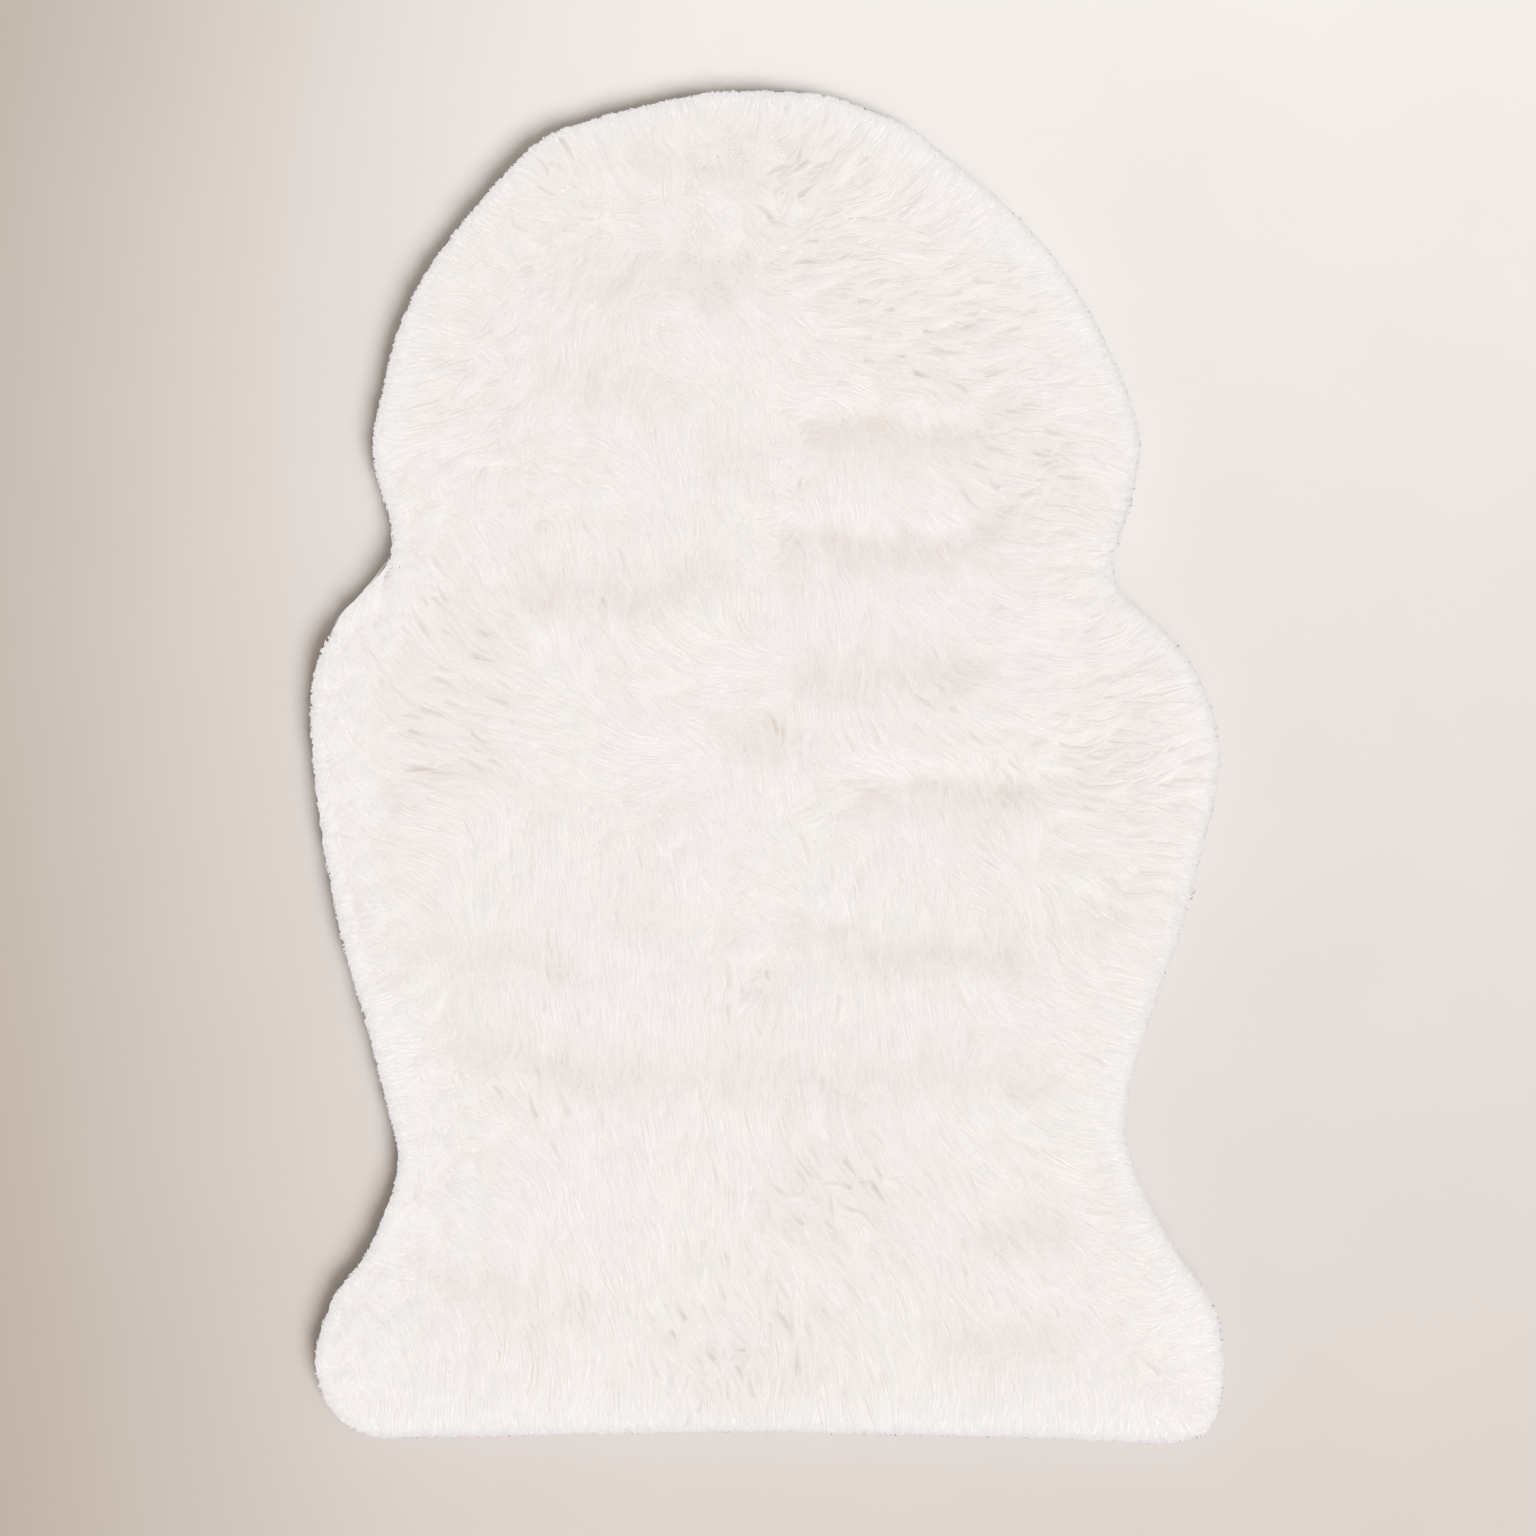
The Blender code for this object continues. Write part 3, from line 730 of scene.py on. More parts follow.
def row_share(plan, lock, start, chance):
    """The share of its lock's length at which a strand that comes from above ends at a row's edge."""
    count = len(start)
    places = np.linspace(0.0, 1.0, ROW_PLACES)
    share = np.broadcast_to(places, (count, len(places)))
    lower = plan.at("lower", at_share(lock["line"], share))
    entered = (lower > ROW_INSIDE[1]) & (share > start[:, None] + ROW_END_SPREAD)
    at_start = np.round(start * (ROW_PLACES - 1)).astype(int)
    from_above = lower[np.arange(count), at_start] < ROW_INSIDE[0]
    chosen = chance.random(count) < ROW_CUT * smooth(2 * lower.max(axis=1))
    ends = entered.any(axis=1) & from_above & chosen
    beyond = chance.uniform(0.0, ROW_END_SPREAD, count)
    return np.where(ends, places[entered.argmax(axis=1)] + beyond, 1.0)


def strand_ends(plan, lock, chance):
    """The shares of its lock's length at which each strand starts and ends."""
    lowest = LOWEST_TIP + TRIM_SPREAD * chance.random(STRANDS) ** 2
    start = chance.uniform(*STRAND_START, STRANDS)
    end = np.minimum(chance.uniform(*STRAND_END, STRANDS), last_share(lock, lowest))
    end = np.minimum(end, row_share(plan, lock, start, chance))
    return np.minimum(start, end - SHORTEST), end


def lock_strands(plan, locks, chance):
    """The strands that the locks are made of."""
    index = np.sort(chance.choice(len(locks["line"]), STRANDS, p=even_shares(plan, locks)))
    lock = {name: values[index] for name, values in locks.items()}
    strength = lock["strength"]
    under = chance.random(STRANDS) < UNDER_SHARE
    start, end = strand_ends(plan, lock, chance)
    share = start[:, None] + (end - start)[:, None] * STEPS

    off_middle = np.clip(chance.normal(size=STRANDS), -MOST_ASIDE, MOST_ASIDE)
    across = off_middle * between(LOCK_HALF_WIDTH, strength)
    closing = 1 - np.where(under, 0.0, lock["clump"])[:, None] * smooth(share * CLOSING_RATE)
    side = at_share(lock["side"], share)
    place = at_share(lock["line"], share) + side * (across[:, None] * closing)[..., None]
    place = turned(place, np.where(under, UNDER_LEAN * chance.normal(size=STRANDS), 0.0))

    lift = np.array(STRAND_LIFTS_MM) * MM * chance.uniform(*LIFT_SPREAD, STRANDS)[:, None]
    sunk = sunk_shares(plan, lock, place[:, 0])
    sunk *= np.minimum((end - start) / WHOLE_SHARE, 1.0)
    lift = np.where(lift < 0, lift * sunk[:, None], lift)
    dome = LOCK_DOME * strength * (1 - DOME_FALL * off_middle**2)
    raised = lock["lift"] + np.where(under, UNDER_LIFT, dome)
    lift = lift + raised[:, None] * smooth(STEPS * RAISED_RATE)

    rounding = between(LOCK_ROUNDING, strength) * np.where(under, UNDER_ROUNDING, 1.0) * off_middle
    side3 = np.concatenate([side, np.zeros(side.shape[:2] + (1,))], axis=-1)
    light = unit(plan.at("light", place) + side3 * rounding[:, None, None])
    tone = TONE_MIDDLE + between(LOCK_TONE, strength) * lock["tone"]
    # lower strands get a darker tone as painted shade
    tone += STRAND_TONE * chance.normal(size=STRANDS) - UNDER_SHADE_TONE * under
    # painted highlight on the tips along a row's lip
    tone += LIP_HIGHLIGHT * plan.at("lip_highlights", place[:, LIP_POINTS]).max(axis=1)
    tint = plan.at("tint", place[:, 0]) + TINT_SPREAD * chance.normal(size=STRANDS)
    # Painted shade along each strand: the rows, the roots, low locks, the gaps' halos, lock sides and lower
    # strands.
    shade = laid_shade(plan, place, chance) + lock["shade"][:, None]
    shade += HALO_SHADE * plan.at("halo", place)
    edge = between(EDGE_SHADE, strength) * np.clip(np.abs(off_middle) - EDGE_START, 0.0, 1.0)
    shade += np.where(under, between(UNDER_SHADE, strength), edge)[:, None]
    along = np.clip(1.0 - shade, 0.0, 1.0)
    return strands_of(plan, place, lift, light, along, between(STRAND_WIDTH, strength), tone, tint)


def sunk_shares(plan, lock, root):
    """How deep each strand's root lies: less where the wool stands, on the wall and by a row."""
    foot = smooth(-lock["unrolled"][:, 0] / FOOT_FADE)
    sunk = (1 - STAND_RISE * lock["stand"]) * (1 - FOOT_RISE * foot)
    return sunk * (1 - ROW_RISE * smooth(2 * plan.at("lower", root)))


def laid_shade(plan, place, chance):
    """The painted shade of the rows, and the roots' cream with painted shade, along each strand."""
    count = len(place)
    aside = np.stack([np.zeros(count), ROW_JITTER * chance.normal(size=count)], axis=-1)
    rows = plan.at("rows", place + aside[:, None]) * chance.uniform(*ROW_SPREAD, (count, 1))
    return ROW_SHADE * rows + ROOT_SHADE * (1 - STEPS) ** 2


def strands_of(plan, place, lift, light, along, width, tone, tint):
    """Strands over these plan points, with the normals that they take their light by."""
    normal = plan.at("normal", place)
    points = plan.at("surface", place) + normal * lift[..., None]
    points[..., 2] = np.maximum(points[..., 2], LOWEST_WOOL)
    return {
        "points": points,
        "light": light,
        "normal": normal,
        "along": along,
        "width": np.broadcast_to(width, len(points)),
        "tone": rows_of(tone, TONES),
        "tint": rows_of(tint, TINTS),
    }


def even_shares(plan, locks):
    """Each lock's share of the strands: more where few locks pass over its ground."""
    rows, columns = plan.x.shape
    at = np.round((locks["line"].reshape(-1, 2) - plan.origin) / PLAN_STEP).astype(int)
    column = np.clip(at[:, 0], 0, columns - 1)
    row = np.clip(at[:, 1], 0, rows - 1)
    passing = np.zeros(plan.x.shape)
    np.add.at(passing, (row, column), 1.0)
    passing = blurred(passing, PASSING_BLUR)
    share = 1.0 / (plan.read(passing, locks["line"]).mean(axis=1) + FEWEST_PASSING * passing.max())
    return share / share.sum()


def turned(place, angle):
    """Each strand's plan points turned about its root."""
    away = place - place[:, :1]
    cos = np.cos(angle)[:, None]
    sin = np.sin(angle)[:, None]
    x = away[..., 0] * cos - away[..., 1] * sin
    y = away[..., 0] * sin + away[..., 1] * cos
    return place[:, :1] + np.stack([x, y], axis=-1)


def rim_strands(plan, ring, chance):
    """Short wool over the rim all round, under the locks."""
    root = np.repeat(walked(ring, RIM_STEP), RIM_LAYERS, axis=0)
    count = len(root)
    out = plan.at("way_out", root)
    flow = plan.at("flow", root)
    hanging = smooth(np.sum(out * flow, axis=-1) / RIM_TURN + 0.5)
    lying = 1 - hanging
    way = out * hanging[:, None] + flow * lying[:, None]
    angle = np.arctan2(way[:, 1], way[:, 0]) + RIM_LEAN * chance.normal(size=count)
    foot = lying * chance.uniform(*RIM_FOOT, count)
    start = hanging * chance.uniform(*RIM_START, count)
    end = hanging * chance.uniform(*RIM_END, count) + lying * chance.uniform(*RIM_LYING, count)
    reach = start[:, None] + (end - start)[:, None] * STEPS
    place = (root + out * foot[:, None])[:, None] + headings(angle)[:, None] * reach[..., None]
    lift = np.array(RIM_LIFTS_MM) * MM * chance.uniform(*RIM_SPREAD, (count, 1))
    lift = lift * between((RIM_LYING_SUNK, 1.0), hanging)[:, None]
    lift += (RIM_STRAY * chance.random(count) ** RIM_SELDOM + RIM_LYING_LIFT * lying)[:, None]
    along = np.full(place.shape[:2], RIM_ALONG)
    tone = 0.5 + RIM_TONE * chance.normal(size=count)
    tint = plan.at("tint", root)
    return strands_of(plan, place, lift, plan.at("light", place), along, STRAND_WIDTH[0], tone, tint)


def find_gaps(plan, chance):
    """The gaps between locks, each clear of the others."""
    high = np.array([plan.x.max(), plan.y.max()])
    spots = chance.uniform(plan.origin, high, (GAP_TRIES, 2))
    grouped = plan.at("groups", spots)
    seldom = GAP_SELDOM * plan.at("locks", spots) * plan.at("patches", spots)
    seldom += GAP_BY_ROWS * plan.at("rows", spots)
    inside = plan.at("depth", spots) > GAP_MARGIN
    chosen = inside & (chance.random(GAP_TRIES) < np.maximum(grouped, seldom))
    way = unit(plan.at("flow", spots))
    whorl = plan.at("whorl", spots)
    gaps = []
    for spot, ahead, stir, group in zip(spots[chosen], way[chosen], whorl[chosen], grouped[chosen]):
        left = np.array([-ahead[1], ahead[0]])
        others = np.array([gap["middle"] for gap in gaps]).reshape(-1, 2) - spot
        if np.any(np.hypot(others @ ahead / GAP_APART[0], others @ left / GAP_APART[1]) < 1):
            continue
        turn = chance.normal() * (GAP_TURN + WHORL_TURN * stir)
        size = chance.random()
        length = between(GAP_LENGTH, size)
        grouping = between((0.5, 1.0), smooth(GROUP_DEEPER * group))
        gaps.append({
            "middle": spot,
            "ahead": (ahead * math.cos(turn) + left * math.sin(turn)) * chance.choice((-1.0, 1.0)),
            "length": length,
            "width": between(GAP_WIDTH, chance.random() * between((SHORT_WIDTH, 1.0), size)),
            "bow": chance.normal() * GAP_BOW * length,
            "crisp": chance.choice((-1.0, 1.0)),
            "depth": between(GAP_DEPTH, chance.random() ** GAP_SHALLOW) * grouping,
        })
    return gaps


def gap_group(gap, chance):
    """One gap's strands: plan points, colours of painted shade, and lifts. The shade is deepest at its
    crisp side.
    """
    count = max(GAP_FEWEST, round(GAP_STRANDS * gap["length"] * gap["width"]))
    start = GAP_START * chance.random((count, 1))
    end = chance.uniform(*GAP_END, (count, 1))
    share = start + (end - start) * STEPS
    from_crisp = chance.random((count, 1))
    left = np.array([-gap["ahead"][1], gap["ahead"][0]])
    across = gap["crisp"] * gap["width"] * (from_crisp - 0.5) * (1 - share) ** GAP_TAPER
    across = across + gap["bow"] * 4 * share * (1 - share)
    place = gap["middle"] + gap["ahead"] * (gap["length"] * (share - 0.5))[..., None]
    fade = (1 - share) ** GAP_FADE * (1 - from_crisp**2) * between((0.5, 1.0), smooth(GAP_ONSET * STEPS))
    shade = gap["depth"] * fade * chance.uniform(*GAP_SHADE_SPREAD, (count, 1))
    arch = between((GAP_END_LIFT, 1.0), 1 - (2 * STEPS - 1) ** 2)
    lift = GAP_LIFT * arch * chance.uniform(*GAP_LIFT_SPREAD, (count, 1))
    return place + left * across[..., None], 1 - shade, lift


def gap_strands(plan, gaps, chance):
    """The thin strands that draw the gaps in cream and painted shade, over the wool."""
    groups = [gap_group(gap, chance) for gap in gaps]
    place, along, lift = (np.concatenate(parts) for parts in zip(*groups))
    tone = 0.5 + STRAND_TONE * chance.normal(size=len(place))
    tint = plan.at("tint", place[:, 0])
    return strands_of(plan, place, lift, plan.at("light", place), along, GAP_STRAND_WIDTH, tone, tint)


def halo_field(plan, gaps):
    """How deep the wool round the gaps lies in their painted shade."""
    field = np.zeros(plan.x.shape)
    for gap in gaps:
        x = plan.x - gap["middle"][0]
        y = plan.y - gap["middle"][1]
        along = (x * gap["ahead"][0] + y * gap["ahead"][1]) / (HALO_ALONG * gap["length"])
        across = (y * gap["ahead"][0] - x * gap["ahead"][1]) / HALO_REACH
        field = np.maximum(field, gap["depth"] * np.exp(-(along**2) - across**2))
    return field


def rows_of(values, count):
    """The values, 0 to 1, as whole rows."""
    return np.clip((values * count).astype(int), 0, count - 1)


def ribbons(strands, chosen, chance):
    """The chosen strands as tapered ribbons: the vertices' places, light normals and shades."""
    points = strands["points"][chosen]
    count = len(points)
    along = unit(np.gradient(points, axis=1))
    facing = unit(strands["normal"][chosen] + np.array([0.0, 0.0, FACE_LIFT]))
    side = unit(np.cross(facing, along))
    up = np.cross(along, side)
    roll = chance.normal(size=(count, 1, 1)) * STRAND_ROLL
    side = side * np.cos(roll) + up * np.sin(roll)
    width = strands["width"][chosen][:, None] * np.array(STRAND_WIDTH_SHARES)
    width = width * chance.uniform(*WIDTH_SPREAD, (count, 1))
    half = side * (0.5 * width)[..., None]
    verts = np.empty((count, STRAND_VERTS, 3))
    verts[:, 0:-1:2] = (points - half)[:, :-1]
    verts[:, 1::2] = (points + half)[:, :-1]
    verts[:, -1] = points[:, -1]
    place = np.arange(STRAND_VERTS) // 2
    return verts, strands["light"][chosen][:, place], strands["along"][chosen][:, place]


def strand_faces(count):
    """Corner and face tables of count ribbons: three quads and a triangle at the tip of each."""
    corners = []
    for first in range(0, STRAND_VERTS - 3, 2):
        corners += [first, first + 2, first + 3, first + 1]
    last = STRAND_VERTS - 3
    corners += [last, last + 2, last + 1]
    sizes = [4] * (STRAND_POINTS - 2) + [3]
    corner = np.array(corners) + STRAND_VERTS * np.arange(count)[:, None]
    return corner.ravel(), np.tile(sizes, count), np.array(corners)


def new_mesh(name, verts, corner, sizes):
    """A mesh from flat tables."""
    mesh = bpy.data.meshes.new(name)
    mesh.vertices.add(len(verts))
    mesh.vertices.foreach_set("co", verts.astype(np.float32).ravel())
    mesh.loops.add(len(corner))
    mesh.loops.foreach_set("vertex_index", corner.astype(np.int32))
    mesh.polygons.add(len(sizes))
    starts = np.concatenate([[0], np.cumsum(sizes)[:-1]])
    mesh.polygons.foreach_set("loop_start", starts.astype(np.int32))
    mesh.update(calc_edges=True)
    return mesh


def new_object(name, data):
    """An object of the scene with this mesh, camera or light."""
    thing = bpy.data.objects.new(name, data)
    bpy.context.scene.collection.objects.link(thing)
    return thing


def mesh_of(name, bm):
    """The bmesh as a mesh."""
    mesh = bpy.data.meshes.new(name)
    bm.to_mesh(mesh)
    bm.free()
    return mesh


def add_object(name, mesh, material):
    """The mesh as an object of the scene, in this material."""
    mesh.materials.append(material)
    return new_object(name, mesh)


def set_field(mesh, name, values, kind="FLOAT", part="value"):
    """Gives the mesh a field, one value to a vertex."""
    attribute = mesh.attributes.new(name, kind, "POINT")
    attribute.data.foreach_set(part, values.astype(np.float32).ravel())


def set_normals(mesh, normals):
    """Gives the mesh these normals, one to a vertex."""
    set_field(mesh, "custom_normal", normals, "FLOAT_VECTOR", "vector")


def wool_piece(name, strands, chosen, material, chance):
    """One piece of the long wool."""
    verts, light, along = ribbons(strands, chosen, chance)
    count = len(verts)
    corner, sizes, pattern = strand_faces(count)
    mesh = new_mesh(name, verts.reshape(-1, 3), corner, sizes)
    tone = strands["tone"][chosen]
    tint = strands["tint"][chosen]
    # along carries the painted shade to the material, and tone the painted highlights on the rows' lips
    set_field(mesh, "along", along)
    set_field(mesh, "tone", np.repeat((tone + 0.5) / TONES, STRAND_VERTS))
    set_field(mesh, "tint", np.repeat((tint + 0.5) / TINTS, STRAND_VERTS))
    set_normals(mesh, light)
    lay_out(mesh, along[:, pattern], (tone * TINTS + tint).astype(float), pattern)
    piece = add_object(name, mesh, material)
    piece.visible_shadow = False
    return piece


def lay_out(mesh, along, strip, pattern):
    """The bake's layout: a strip for each tone and tint, and along it what the wool's colour follows."""
    right = (np.arange(STRAND_VERTS) % 2).astype(float)
    right[-1] = 0.5
    end, side = STRIP_MARGINS
    u = end + (1 - 2 * end) * along
    v = (strip[:, None] + side + (1 - 2 * side) * right[pattern]) / (TONES * TINTS)
    uv = np.stack([u, v], axis=-1)
    mesh.uv_layers.new(name="OFBake").data.foreach_set("uv", uv.astype(np.float32).ravel())


def felt_piece(plan, material):
    """The underwool: the fleece's own form down to the hide, a little inside it."""
    fields = (plan.grid, plan.fields["way_out"], plan.fields["depth"])
    grid, out, depth = (field[::FELT_EVERY, ::FELT_EVERY] for field in fields)
    over = np.maximum(FELT_FOOT - depth, 0.0)
    place = grid - out * over[..., None]
    used = over < 1.5 * FELT_EVERY * PLAN_STEP
    normal = plan.at("normal", place)
    sink = FELT_WALL_SINK + (FELT_SINK - FELT_WALL_SINK) * np.abs(normal[..., 2])
    sink += FELT_SWIRL * (plan.at("felt", place) - 0.5) * 2
    points = plan.at("surface", place) - normal * sink[..., None]
    points[..., 2] = np.maximum(points[..., 2], HIDE_THICKNESS - FELT_LET_IN)
    cell = used[:-1, :-1] & used[:-1, 1:] & used[1:, :-1] & used[1:, 1:]
    columns = used.shape[1]
    corner = np.arange(used.size).reshape(used.shape)[:-1, :-1][cell]
    quads = np.stack([corner, corner + 1, corner + columns + 1, corner + columns], axis=-1)
    kept, index = np.unique(quads, return_inverse=True)
    mesh = new_mesh("underwool", points.reshape(-1, 3)[kept], index.ravel(), np.full(len(quads), 4))
    # the rows' painted shade, which the felt's colour takes
    set_field(mesh, "rows", plan.at("rows", place).ravel()[kept])
    set_normals(mesh, plan.at("light", place).reshape(-1, 3)[kept])
    return add_object("underwool", mesh, material)


def hide_piece(hide_ring, material):
    """The hide: a flat sheet of suede with a slightly eased edge."""
    bm = bmesh.new()
    inset, rise = HIDE_EDGE
    levels = ((0.0, inset), (rise, 0.0), (HIDE_THICKNESS - rise, 0.0), (HIDE_THICKNESS, inset))
    tangent = unit(np.roll(hide_ring, -1, axis=0) - np.roll(hide_ring, 1, axis=0))
    inward = np.stack([-tangent[:, 1], tangent[:, 0]], axis=-1)
    rings = []
    for height, inset in levels:
        rings.append([bm.verts.new((x, y, height)) for x, y in hide_ring + inward * inset])
    count = len(hide_ring)
    for lower, upper in zip(rings, rings[1:]):
        for index in range(count):
            follow = (index + 1) % count
            bm.faces.new((lower[index], lower[follow], upper[follow], upper[index]))
    bm.faces.new(rings[0][::-1])
    bm.faces.new(rings[-1])
    bmesh.ops.triangulate(bm, faces=[face for face in bm.faces if len(face.verts) > 4])
    mesh = mesh_of("hide", bm)
    mesh.shade_smooth()
    mesh.set_sharp_from_angle(angle=HIDE_SHARP)
    return add_object("hide", mesh, material)


class Nodes:
    """A short way to write a node tree."""

    def __init__(self, tree):
        self.tree = tree

    def give(self, socket, value):
        """Sets the input, or links it to the output that is given."""
        if isinstance(value, bpy.types.NodeSocket):
            self.tree.links.new(value, socket)
        else:
            socket.default_value = value

    def add(self, kind, settings=None, **inputs):
        """A new node, with its inputs under their names, _ for a space."""
        node = self.tree.nodes.new(kind)
        for name, value in (settings or {}).items():
            setattr(node, name, value)
        for name, value in inputs.items():
            self.give(node.inputs[name.replace("_", " ")], value)
        return node

    def place(self):
        return self.add("ShaderNodeTexCoord").outputs["Object"]

    def attribute(self, name):
        return self.add("ShaderNodeAttribute", {"attribute_name": name}).outputs["Fac"]

    def noise(self, place, scale, detail, **more):
        node = self.add("ShaderNodeTexNoise", Vector=place, Scale=scale, Detail=detail, **more)
        return node.outputs["Fac"]

    def mix(self, factor, first, second, blend="MIX"):
        """A blend of two colours."""
        node = self.add("ShaderNodeMix", {"data_type": "RGBA", "blend_type": blend})
        for index, value in ((0, factor), (6, first), (7, second)):
            self.give(node.inputs[index], value)
        return node.outputs[2]

    def span(self, value, start, end, low=0.0, high=1.0, kind="LINEAR"):
        """Low to high as the value goes from start to end."""
        node = self.add(
            "ShaderNodeMapRange", {"interpolation_type": kind},
            Value=value, From_Min=start, From_Max=end, To_Min=low, To_Max=high,
        )
        return node.outputs["Result"]

    def math(self, kind, first, second=0.0):
        node = self.add("ShaderNodeMath", {"operation": kind})
        self.give(node.inputs[0], first)
        self.give(node.inputs[1], second)
        return node.outputs[0]

    def grained(self, colour, place, detail):
        """The colour, a hundredth lighter and darker from place to place."""
        light = self.span(self.noise(place, 9.0, detail), 0.3, 0.7, 0.99, 1.01)
        node = self.add("ShaderNodeVectorMath", {"operation": "SCALE"}, Vector=colour, Scale=light)
        return node.outputs["Vector"]

    def bump(self, height, strength, distance):
        node = self.add("ShaderNodeBump", Strength=strength, Distance=distance, Height=height)
        return node.outputs["Normal"]


def shader_of(name, roughness, specular):
    """A material with its node helper and its Principled shader."""
    material = bpy.data.materials.new(name)
    material.use_nodes = True
    shader = material.node_tree.nodes["Principled BSDF"]
    shader.inputs["Roughness"].default_value = roughness
    shader.inputs["Specular IOR Level"].default_value = specular
    return material, Nodes(material.node_tree), shader


def wool_material():
    """Cream at the roots, near white at the tips, a little different from strand to strand. Painted shade
    goes along the strands towards the roots' cream, and the tone carries painted highlights on the rows'
    lips.
    """
    material, nodes, shader = shader_of("wool", roughness=0.8, specular=0.12)
    along = nodes.attribute("along")
    tone = nodes.attribute("tone")
    tint = nodes.attribute("tint")
    place = nodes.add("ShaderNodeCombineXYZ", X=along, Y=tone, Z=tint).outputs["Vector"]
    warm = nodes.mix(nodes.span(tint, 0.0, 0.5), PINK_WOOL, CREAM_WOOL)
    fresh = nodes.mix(nodes.span(tint, 0.5, 1.0), warm, WHITE_WOOL)
    colour = nodes.mix(along, ROOT_AND_SHADE_WOOL, fresh)
    toned = nodes.mix(1.0, colour, nodes.mix(tone, TONE_DEEP, TONE_PALE), "MULTIPLY")
    nodes.give(shader.inputs["Base Color"], nodes.grained(toned, place, detail=2.0))
    return material


def felt_material():
    """Matted underwool: cream, with short curled fibres, and painted shade under the rows' edges."""
    material, nodes, shader = shader_of("felt", roughness=0.95, specular=0.1)
    place = nodes.place()
    cloud = nodes.noise(place, scale=90.0, detail=3.0)
    fibres = nodes.noise(place, scale=420.0, detail=4.0, Distortion=1.6)
    share = nodes.math("MULTIPLY", nodes.span(cloud, 0.35, 0.65), nodes.span(fibres, 0.3, 0.6, 0.6, 1.0))
    felt = nodes.mix(share, FELT_DEEP, FELT_PALE)
    in_shade = nodes.span(nodes.attribute("rows"), 0.0, 1.0, 0.0, FELT_SHADE)
    nodes.give(shader.inputs["Base Color"], nodes.mix(in_shade, felt, ROOT_AND_SHADE_WOOL))
    nodes.give(shader.inputs["Normal"], nodes.bump(fibres, strength=0.8, distance=0.0008))
    return material


def hide_material():
    """Pale suede: a short brushed nap with soft cloudy shades."""
    material, nodes, shader = shader_of("suede", roughness=0.9, specular=0.2)
    place = nodes.place()
    cloud = nodes.noise(place, scale=14.0, detail=5.0, Roughness=0.6)
    nap = nodes.noise(place, scale=900.0, detail=3.0)
    share = nodes.math("MULTIPLY", nodes.span(cloud, 0.3, 0.7), nodes.span(nap, 0.3, 0.7, 0.75, 1.0))
    nodes.give(shader.inputs["Base Color"], nodes.mix(share, HIDE_DEEP, HIDE_PALE))
    nodes.give(shader.inputs["Normal"], nodes.bump(nap, strength=0.5, distance=0.0004))
    shader.inputs["Sheen Weight"].default_value = 0.3
    return material


def floor_material():
    """A pale floor with painted light: darker at the tail's side, and falling off into a painted soft shade
    on its left and at its head's left corner.
    """
    material, nodes, shader = shader_of("floor", roughness=0.9, specular=0.1)
    place = nodes.place()
    axes = nodes.add("ShaderNodeSeparateXYZ", Vector=place).outputs
    headward = nodes.span(axes["Y"], 0.0, FLOOR_ENDS[1])
    bulge = nodes.math("MULTIPLY", nodes.math("MULTIPLY", headward, headward), FLOOR_BULGE)
    across = nodes.math("SUBTRACT", axes["X"], bulge)
    left = nodes.math("POWER", nodes.span(across, *FLOOR_SHADE, kind="SMOOTHSTEP"), FLOOR_POWER)
    left = nodes.math("MINIMUM", left, FLOOR_MOST)
    near = nodes.span(axes["X"], *FLOOR_SIDE, kind="SMOOTHERSTEP")
    beside = nodes.span(nodes.math("ABSOLUTE", axes["Y"]), *FLOOR_FRONT, kind="SMOOTHERSTEP")
    shade = nodes.math("MULTIPLY", left, nodes.math("MULTIPLY", near, beside))
    run = nodes.span(axes["Y"], *FLOOR_ENDS)
    colour = nodes.mix(shade, nodes.mix(run, *FLOOR_PALE), nodes.mix(run, *FLOOR_DEEP))
    nodes.give(shader.inputs["Base Color"], nodes.grained(colour, place, detail=4.0))
    return material


def add_floor():
    """The floor that the rug lies on, as part of the stage."""
    bm = bmesh.new()
    bmesh.ops.create_circle(bm, cap_ends=True, segments=96, radius=FLOOR_RADIUS)
    floor = add_object("floor", mesh_of("floor", bm), floor_material())
    floor.location.z = FLOOR_Z


def add_camera():
    """The camera, straight over the rug."""
    data = bpy.data.cameras.new("camera")
    data.lens = LENS
    camera = new_object("camera", data)
    camera.location = (*CAMERA_AIM, CAMERA_HEIGHT)
    bpy.context.scene.camera = camera


def add_light():
    """A low sun from the right of the tail, and a soft sky that is brighter at the horizon."""
    data = bpy.data.lights.new("key", "SUN")
    data.energy = SUN_STRENGTH
    data.angle = SUN_ANGLE
    data.color = SUN_COLOUR
    key = new_object("key", data)
    key.rotation_mode = "QUATERNION"
    key.rotation_quaternion = Vector(SUN_FROM).to_track_quat("Z", "Y")

    world = bpy.data.worlds.new("world")
    world.use_nodes = True
    nodes = Nodes(world.node_tree)
    back = world.node_tree.nodes["Background"]
    place = nodes.add("ShaderNodeTexCoord").outputs["Generated"]
    height = nodes.add("ShaderNodeSeparateXYZ", Vector=place).outputs["Z"]
    nodes.give(back.inputs["Color"], SKY_COLOUR)
    nodes.give(back.inputs["Strength"], nodes.span(height, *SKY_HEIGHTS, *SKY_STRENGTH, kind="SMOOTHSTEP"))
    bpy.context.scene.world = world


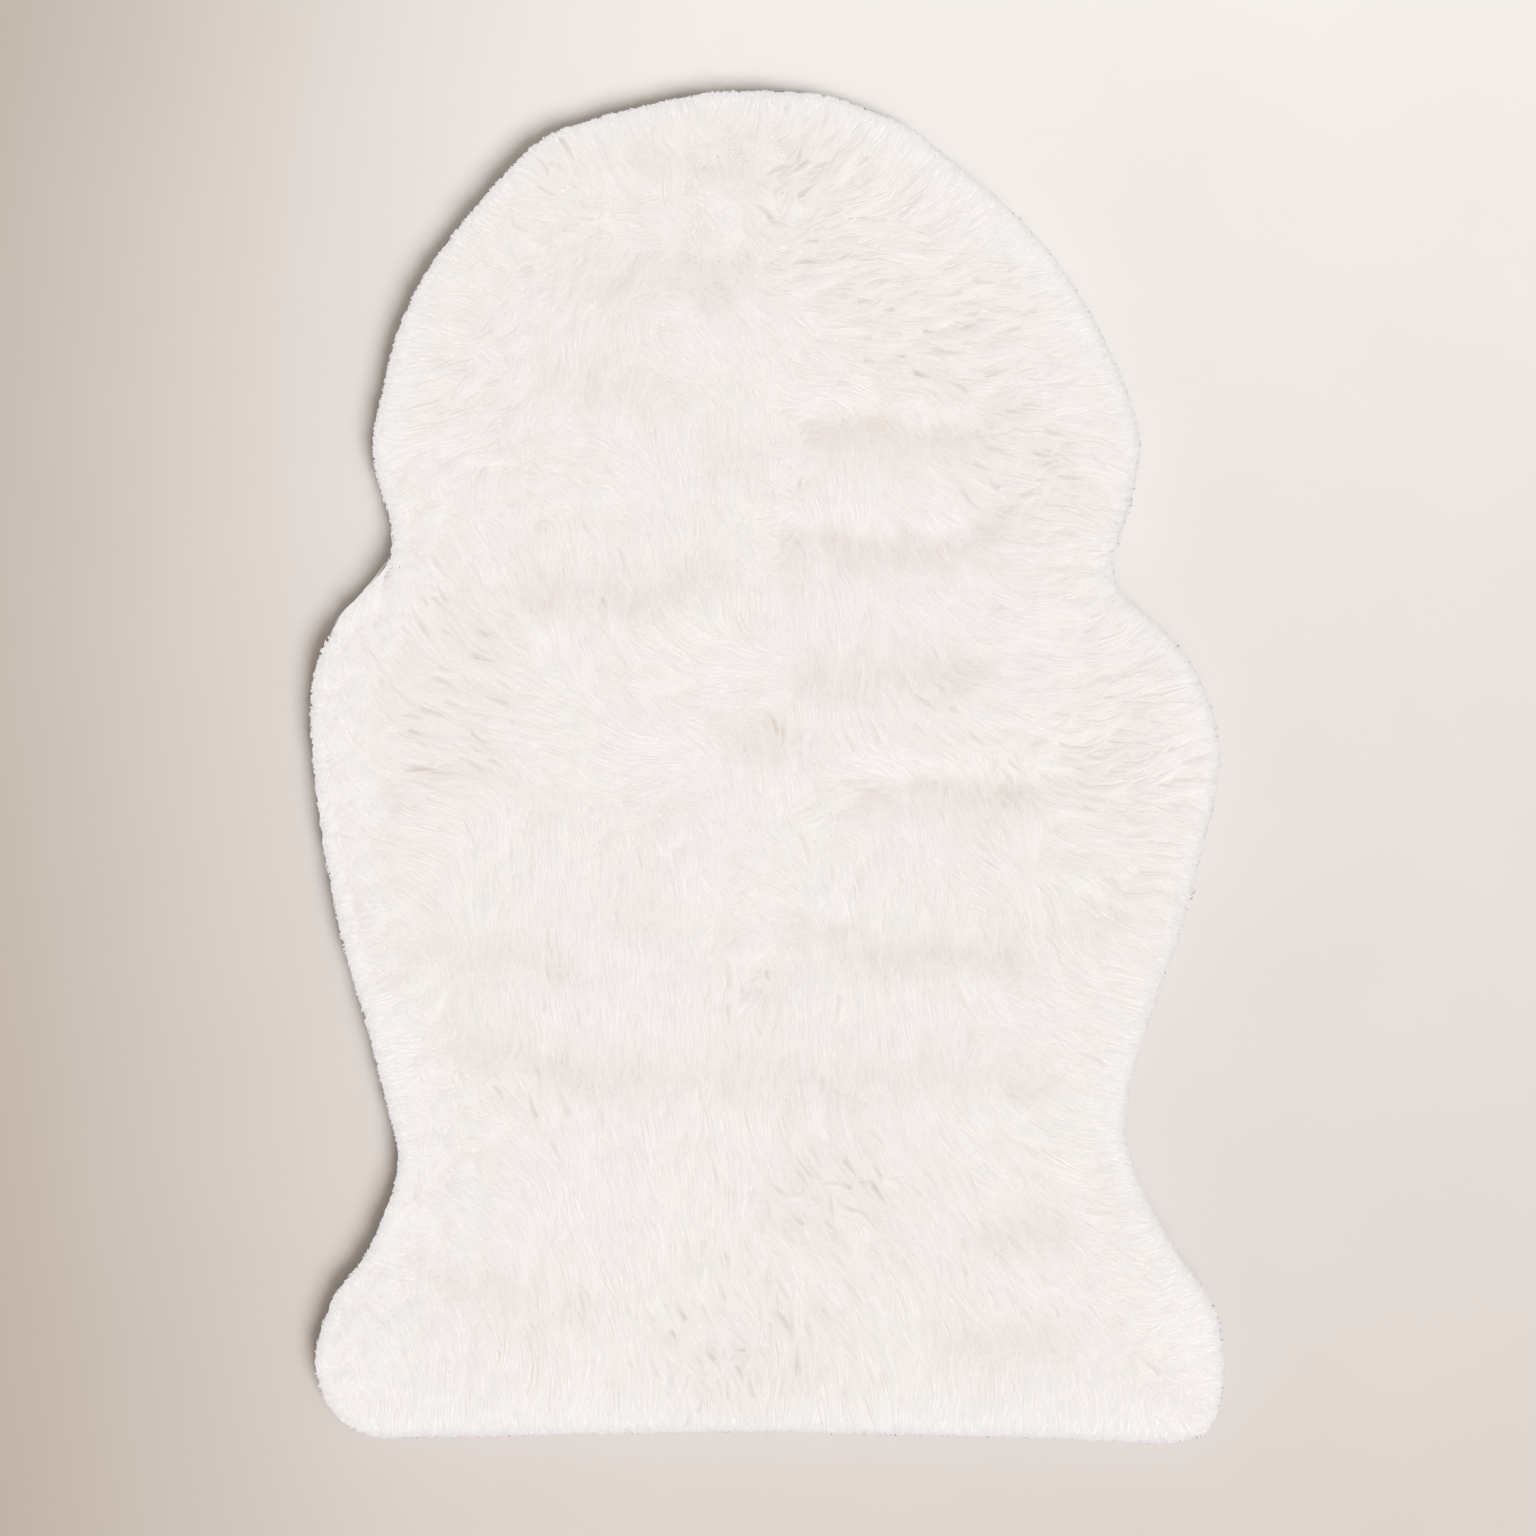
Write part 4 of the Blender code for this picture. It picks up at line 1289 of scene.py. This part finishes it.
def measure_plan(points, triangles, hide_ring, chance):
    """The plan with all the fields that the wool is laid by, but the halo round the gaps."""
    plan = Plan(*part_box(NODE))
    depth, way_out = rim_fields(plan, hide_ring)
    height = fleece_height(plan, points, triangles, depth)
    normal, light = fleece_normals(depth, way_out, height)
    flow = flow_field(plan, depth, way_out)
    tint = tint_field(plan, depth, chance)
    busy = 1 - smooth(2 * tint - 1)
    rows, lip_highlights, lower = row_fields(plan, plan.cloud(chance, ROW_WAVE))
    plan.fields = {
        "depth": depth,
        "way_out": way_out,
        "surface": fleece_surface(plan, depth, way_out, height),
        "normal": normal,
        "light": light,
        "rows": rows * busy,
        "lip_highlights": lip_highlights * busy,
        "lower": lower * busy,
        "flow": flow,
        "stand": parting_field(flow),
        "locks": plan.hills(LOCKS_MM, CALM_LOCKS) * busy,
        "whorl": whorl_field(plan),
        "tint": tint,
        "groups": plan.hills(GAP_GROUPS_MM, 0.0),
        "patches": plan.cloud(chance, GAP_GROUP),
        "felt": plan.cloud(chance, FELT_CLOUD),
        "curl": plan.cloud(chance, CURL_CLOUD),
    }
    return plan


def all_strands(plan, hide_ring, chance):
    """The strands of the locks, of the gaps between them and of the rim."""
    gaps = find_gaps(plan, chance)
    plan.fields["halo"] = halo_field(plan, gaps)
    locks = comb_locks(plan, chance)
    kinds = (
        lock_strands(plan, locks, chance),
        gap_strands(plan, gaps, chance),
        rim_strands(plan, hide_ring, chance),
    )
    return {name: np.concatenate([kind[name] for kind in kinds]) for name in kinds[0]}


def tell_kit(pieces, felt, hide):
    for piece in (*pieces, felt, hide):
        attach(piece, BODY)
        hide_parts(NODE)


def main():
    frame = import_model()
    chance = np.random.default_rng(SEED)
    points, triangles = frame_mesh(frame["nodes"][NODE])
    hide_ring = ring_between(points, triangles, *HIDE_TOP_BAND)
    plan = measure_plan(points, triangles, hide_ring, chance)
    strands = all_strands(plan, hide_ring, chance)

    wool = wool_material()
    headmost_first = np.argsort(-strands["points"][:, 0, 1], kind="stable")
    pieces = []
    for name, chosen in zip(PIECES, np.array_split(headmost_first, len(PIECES))):
        pieces.append(wool_piece(name, strands, chosen, wool, chance))
    felt = felt_piece(plan, felt_material())
    hide = hide_piece(hide_ring, hide_material())
    tell_kit(pieces, felt, hide)

    add_floor()
    add_camera()
    add_light()
    scene = bpy.context.scene
    scene.view_settings.view_transform = "Standard"
    scene.cycles.diffuse_bounces = LIGHT_BOUNCES
    scene.cycles.max_bounces = LIGHT_BOUNCES


main()
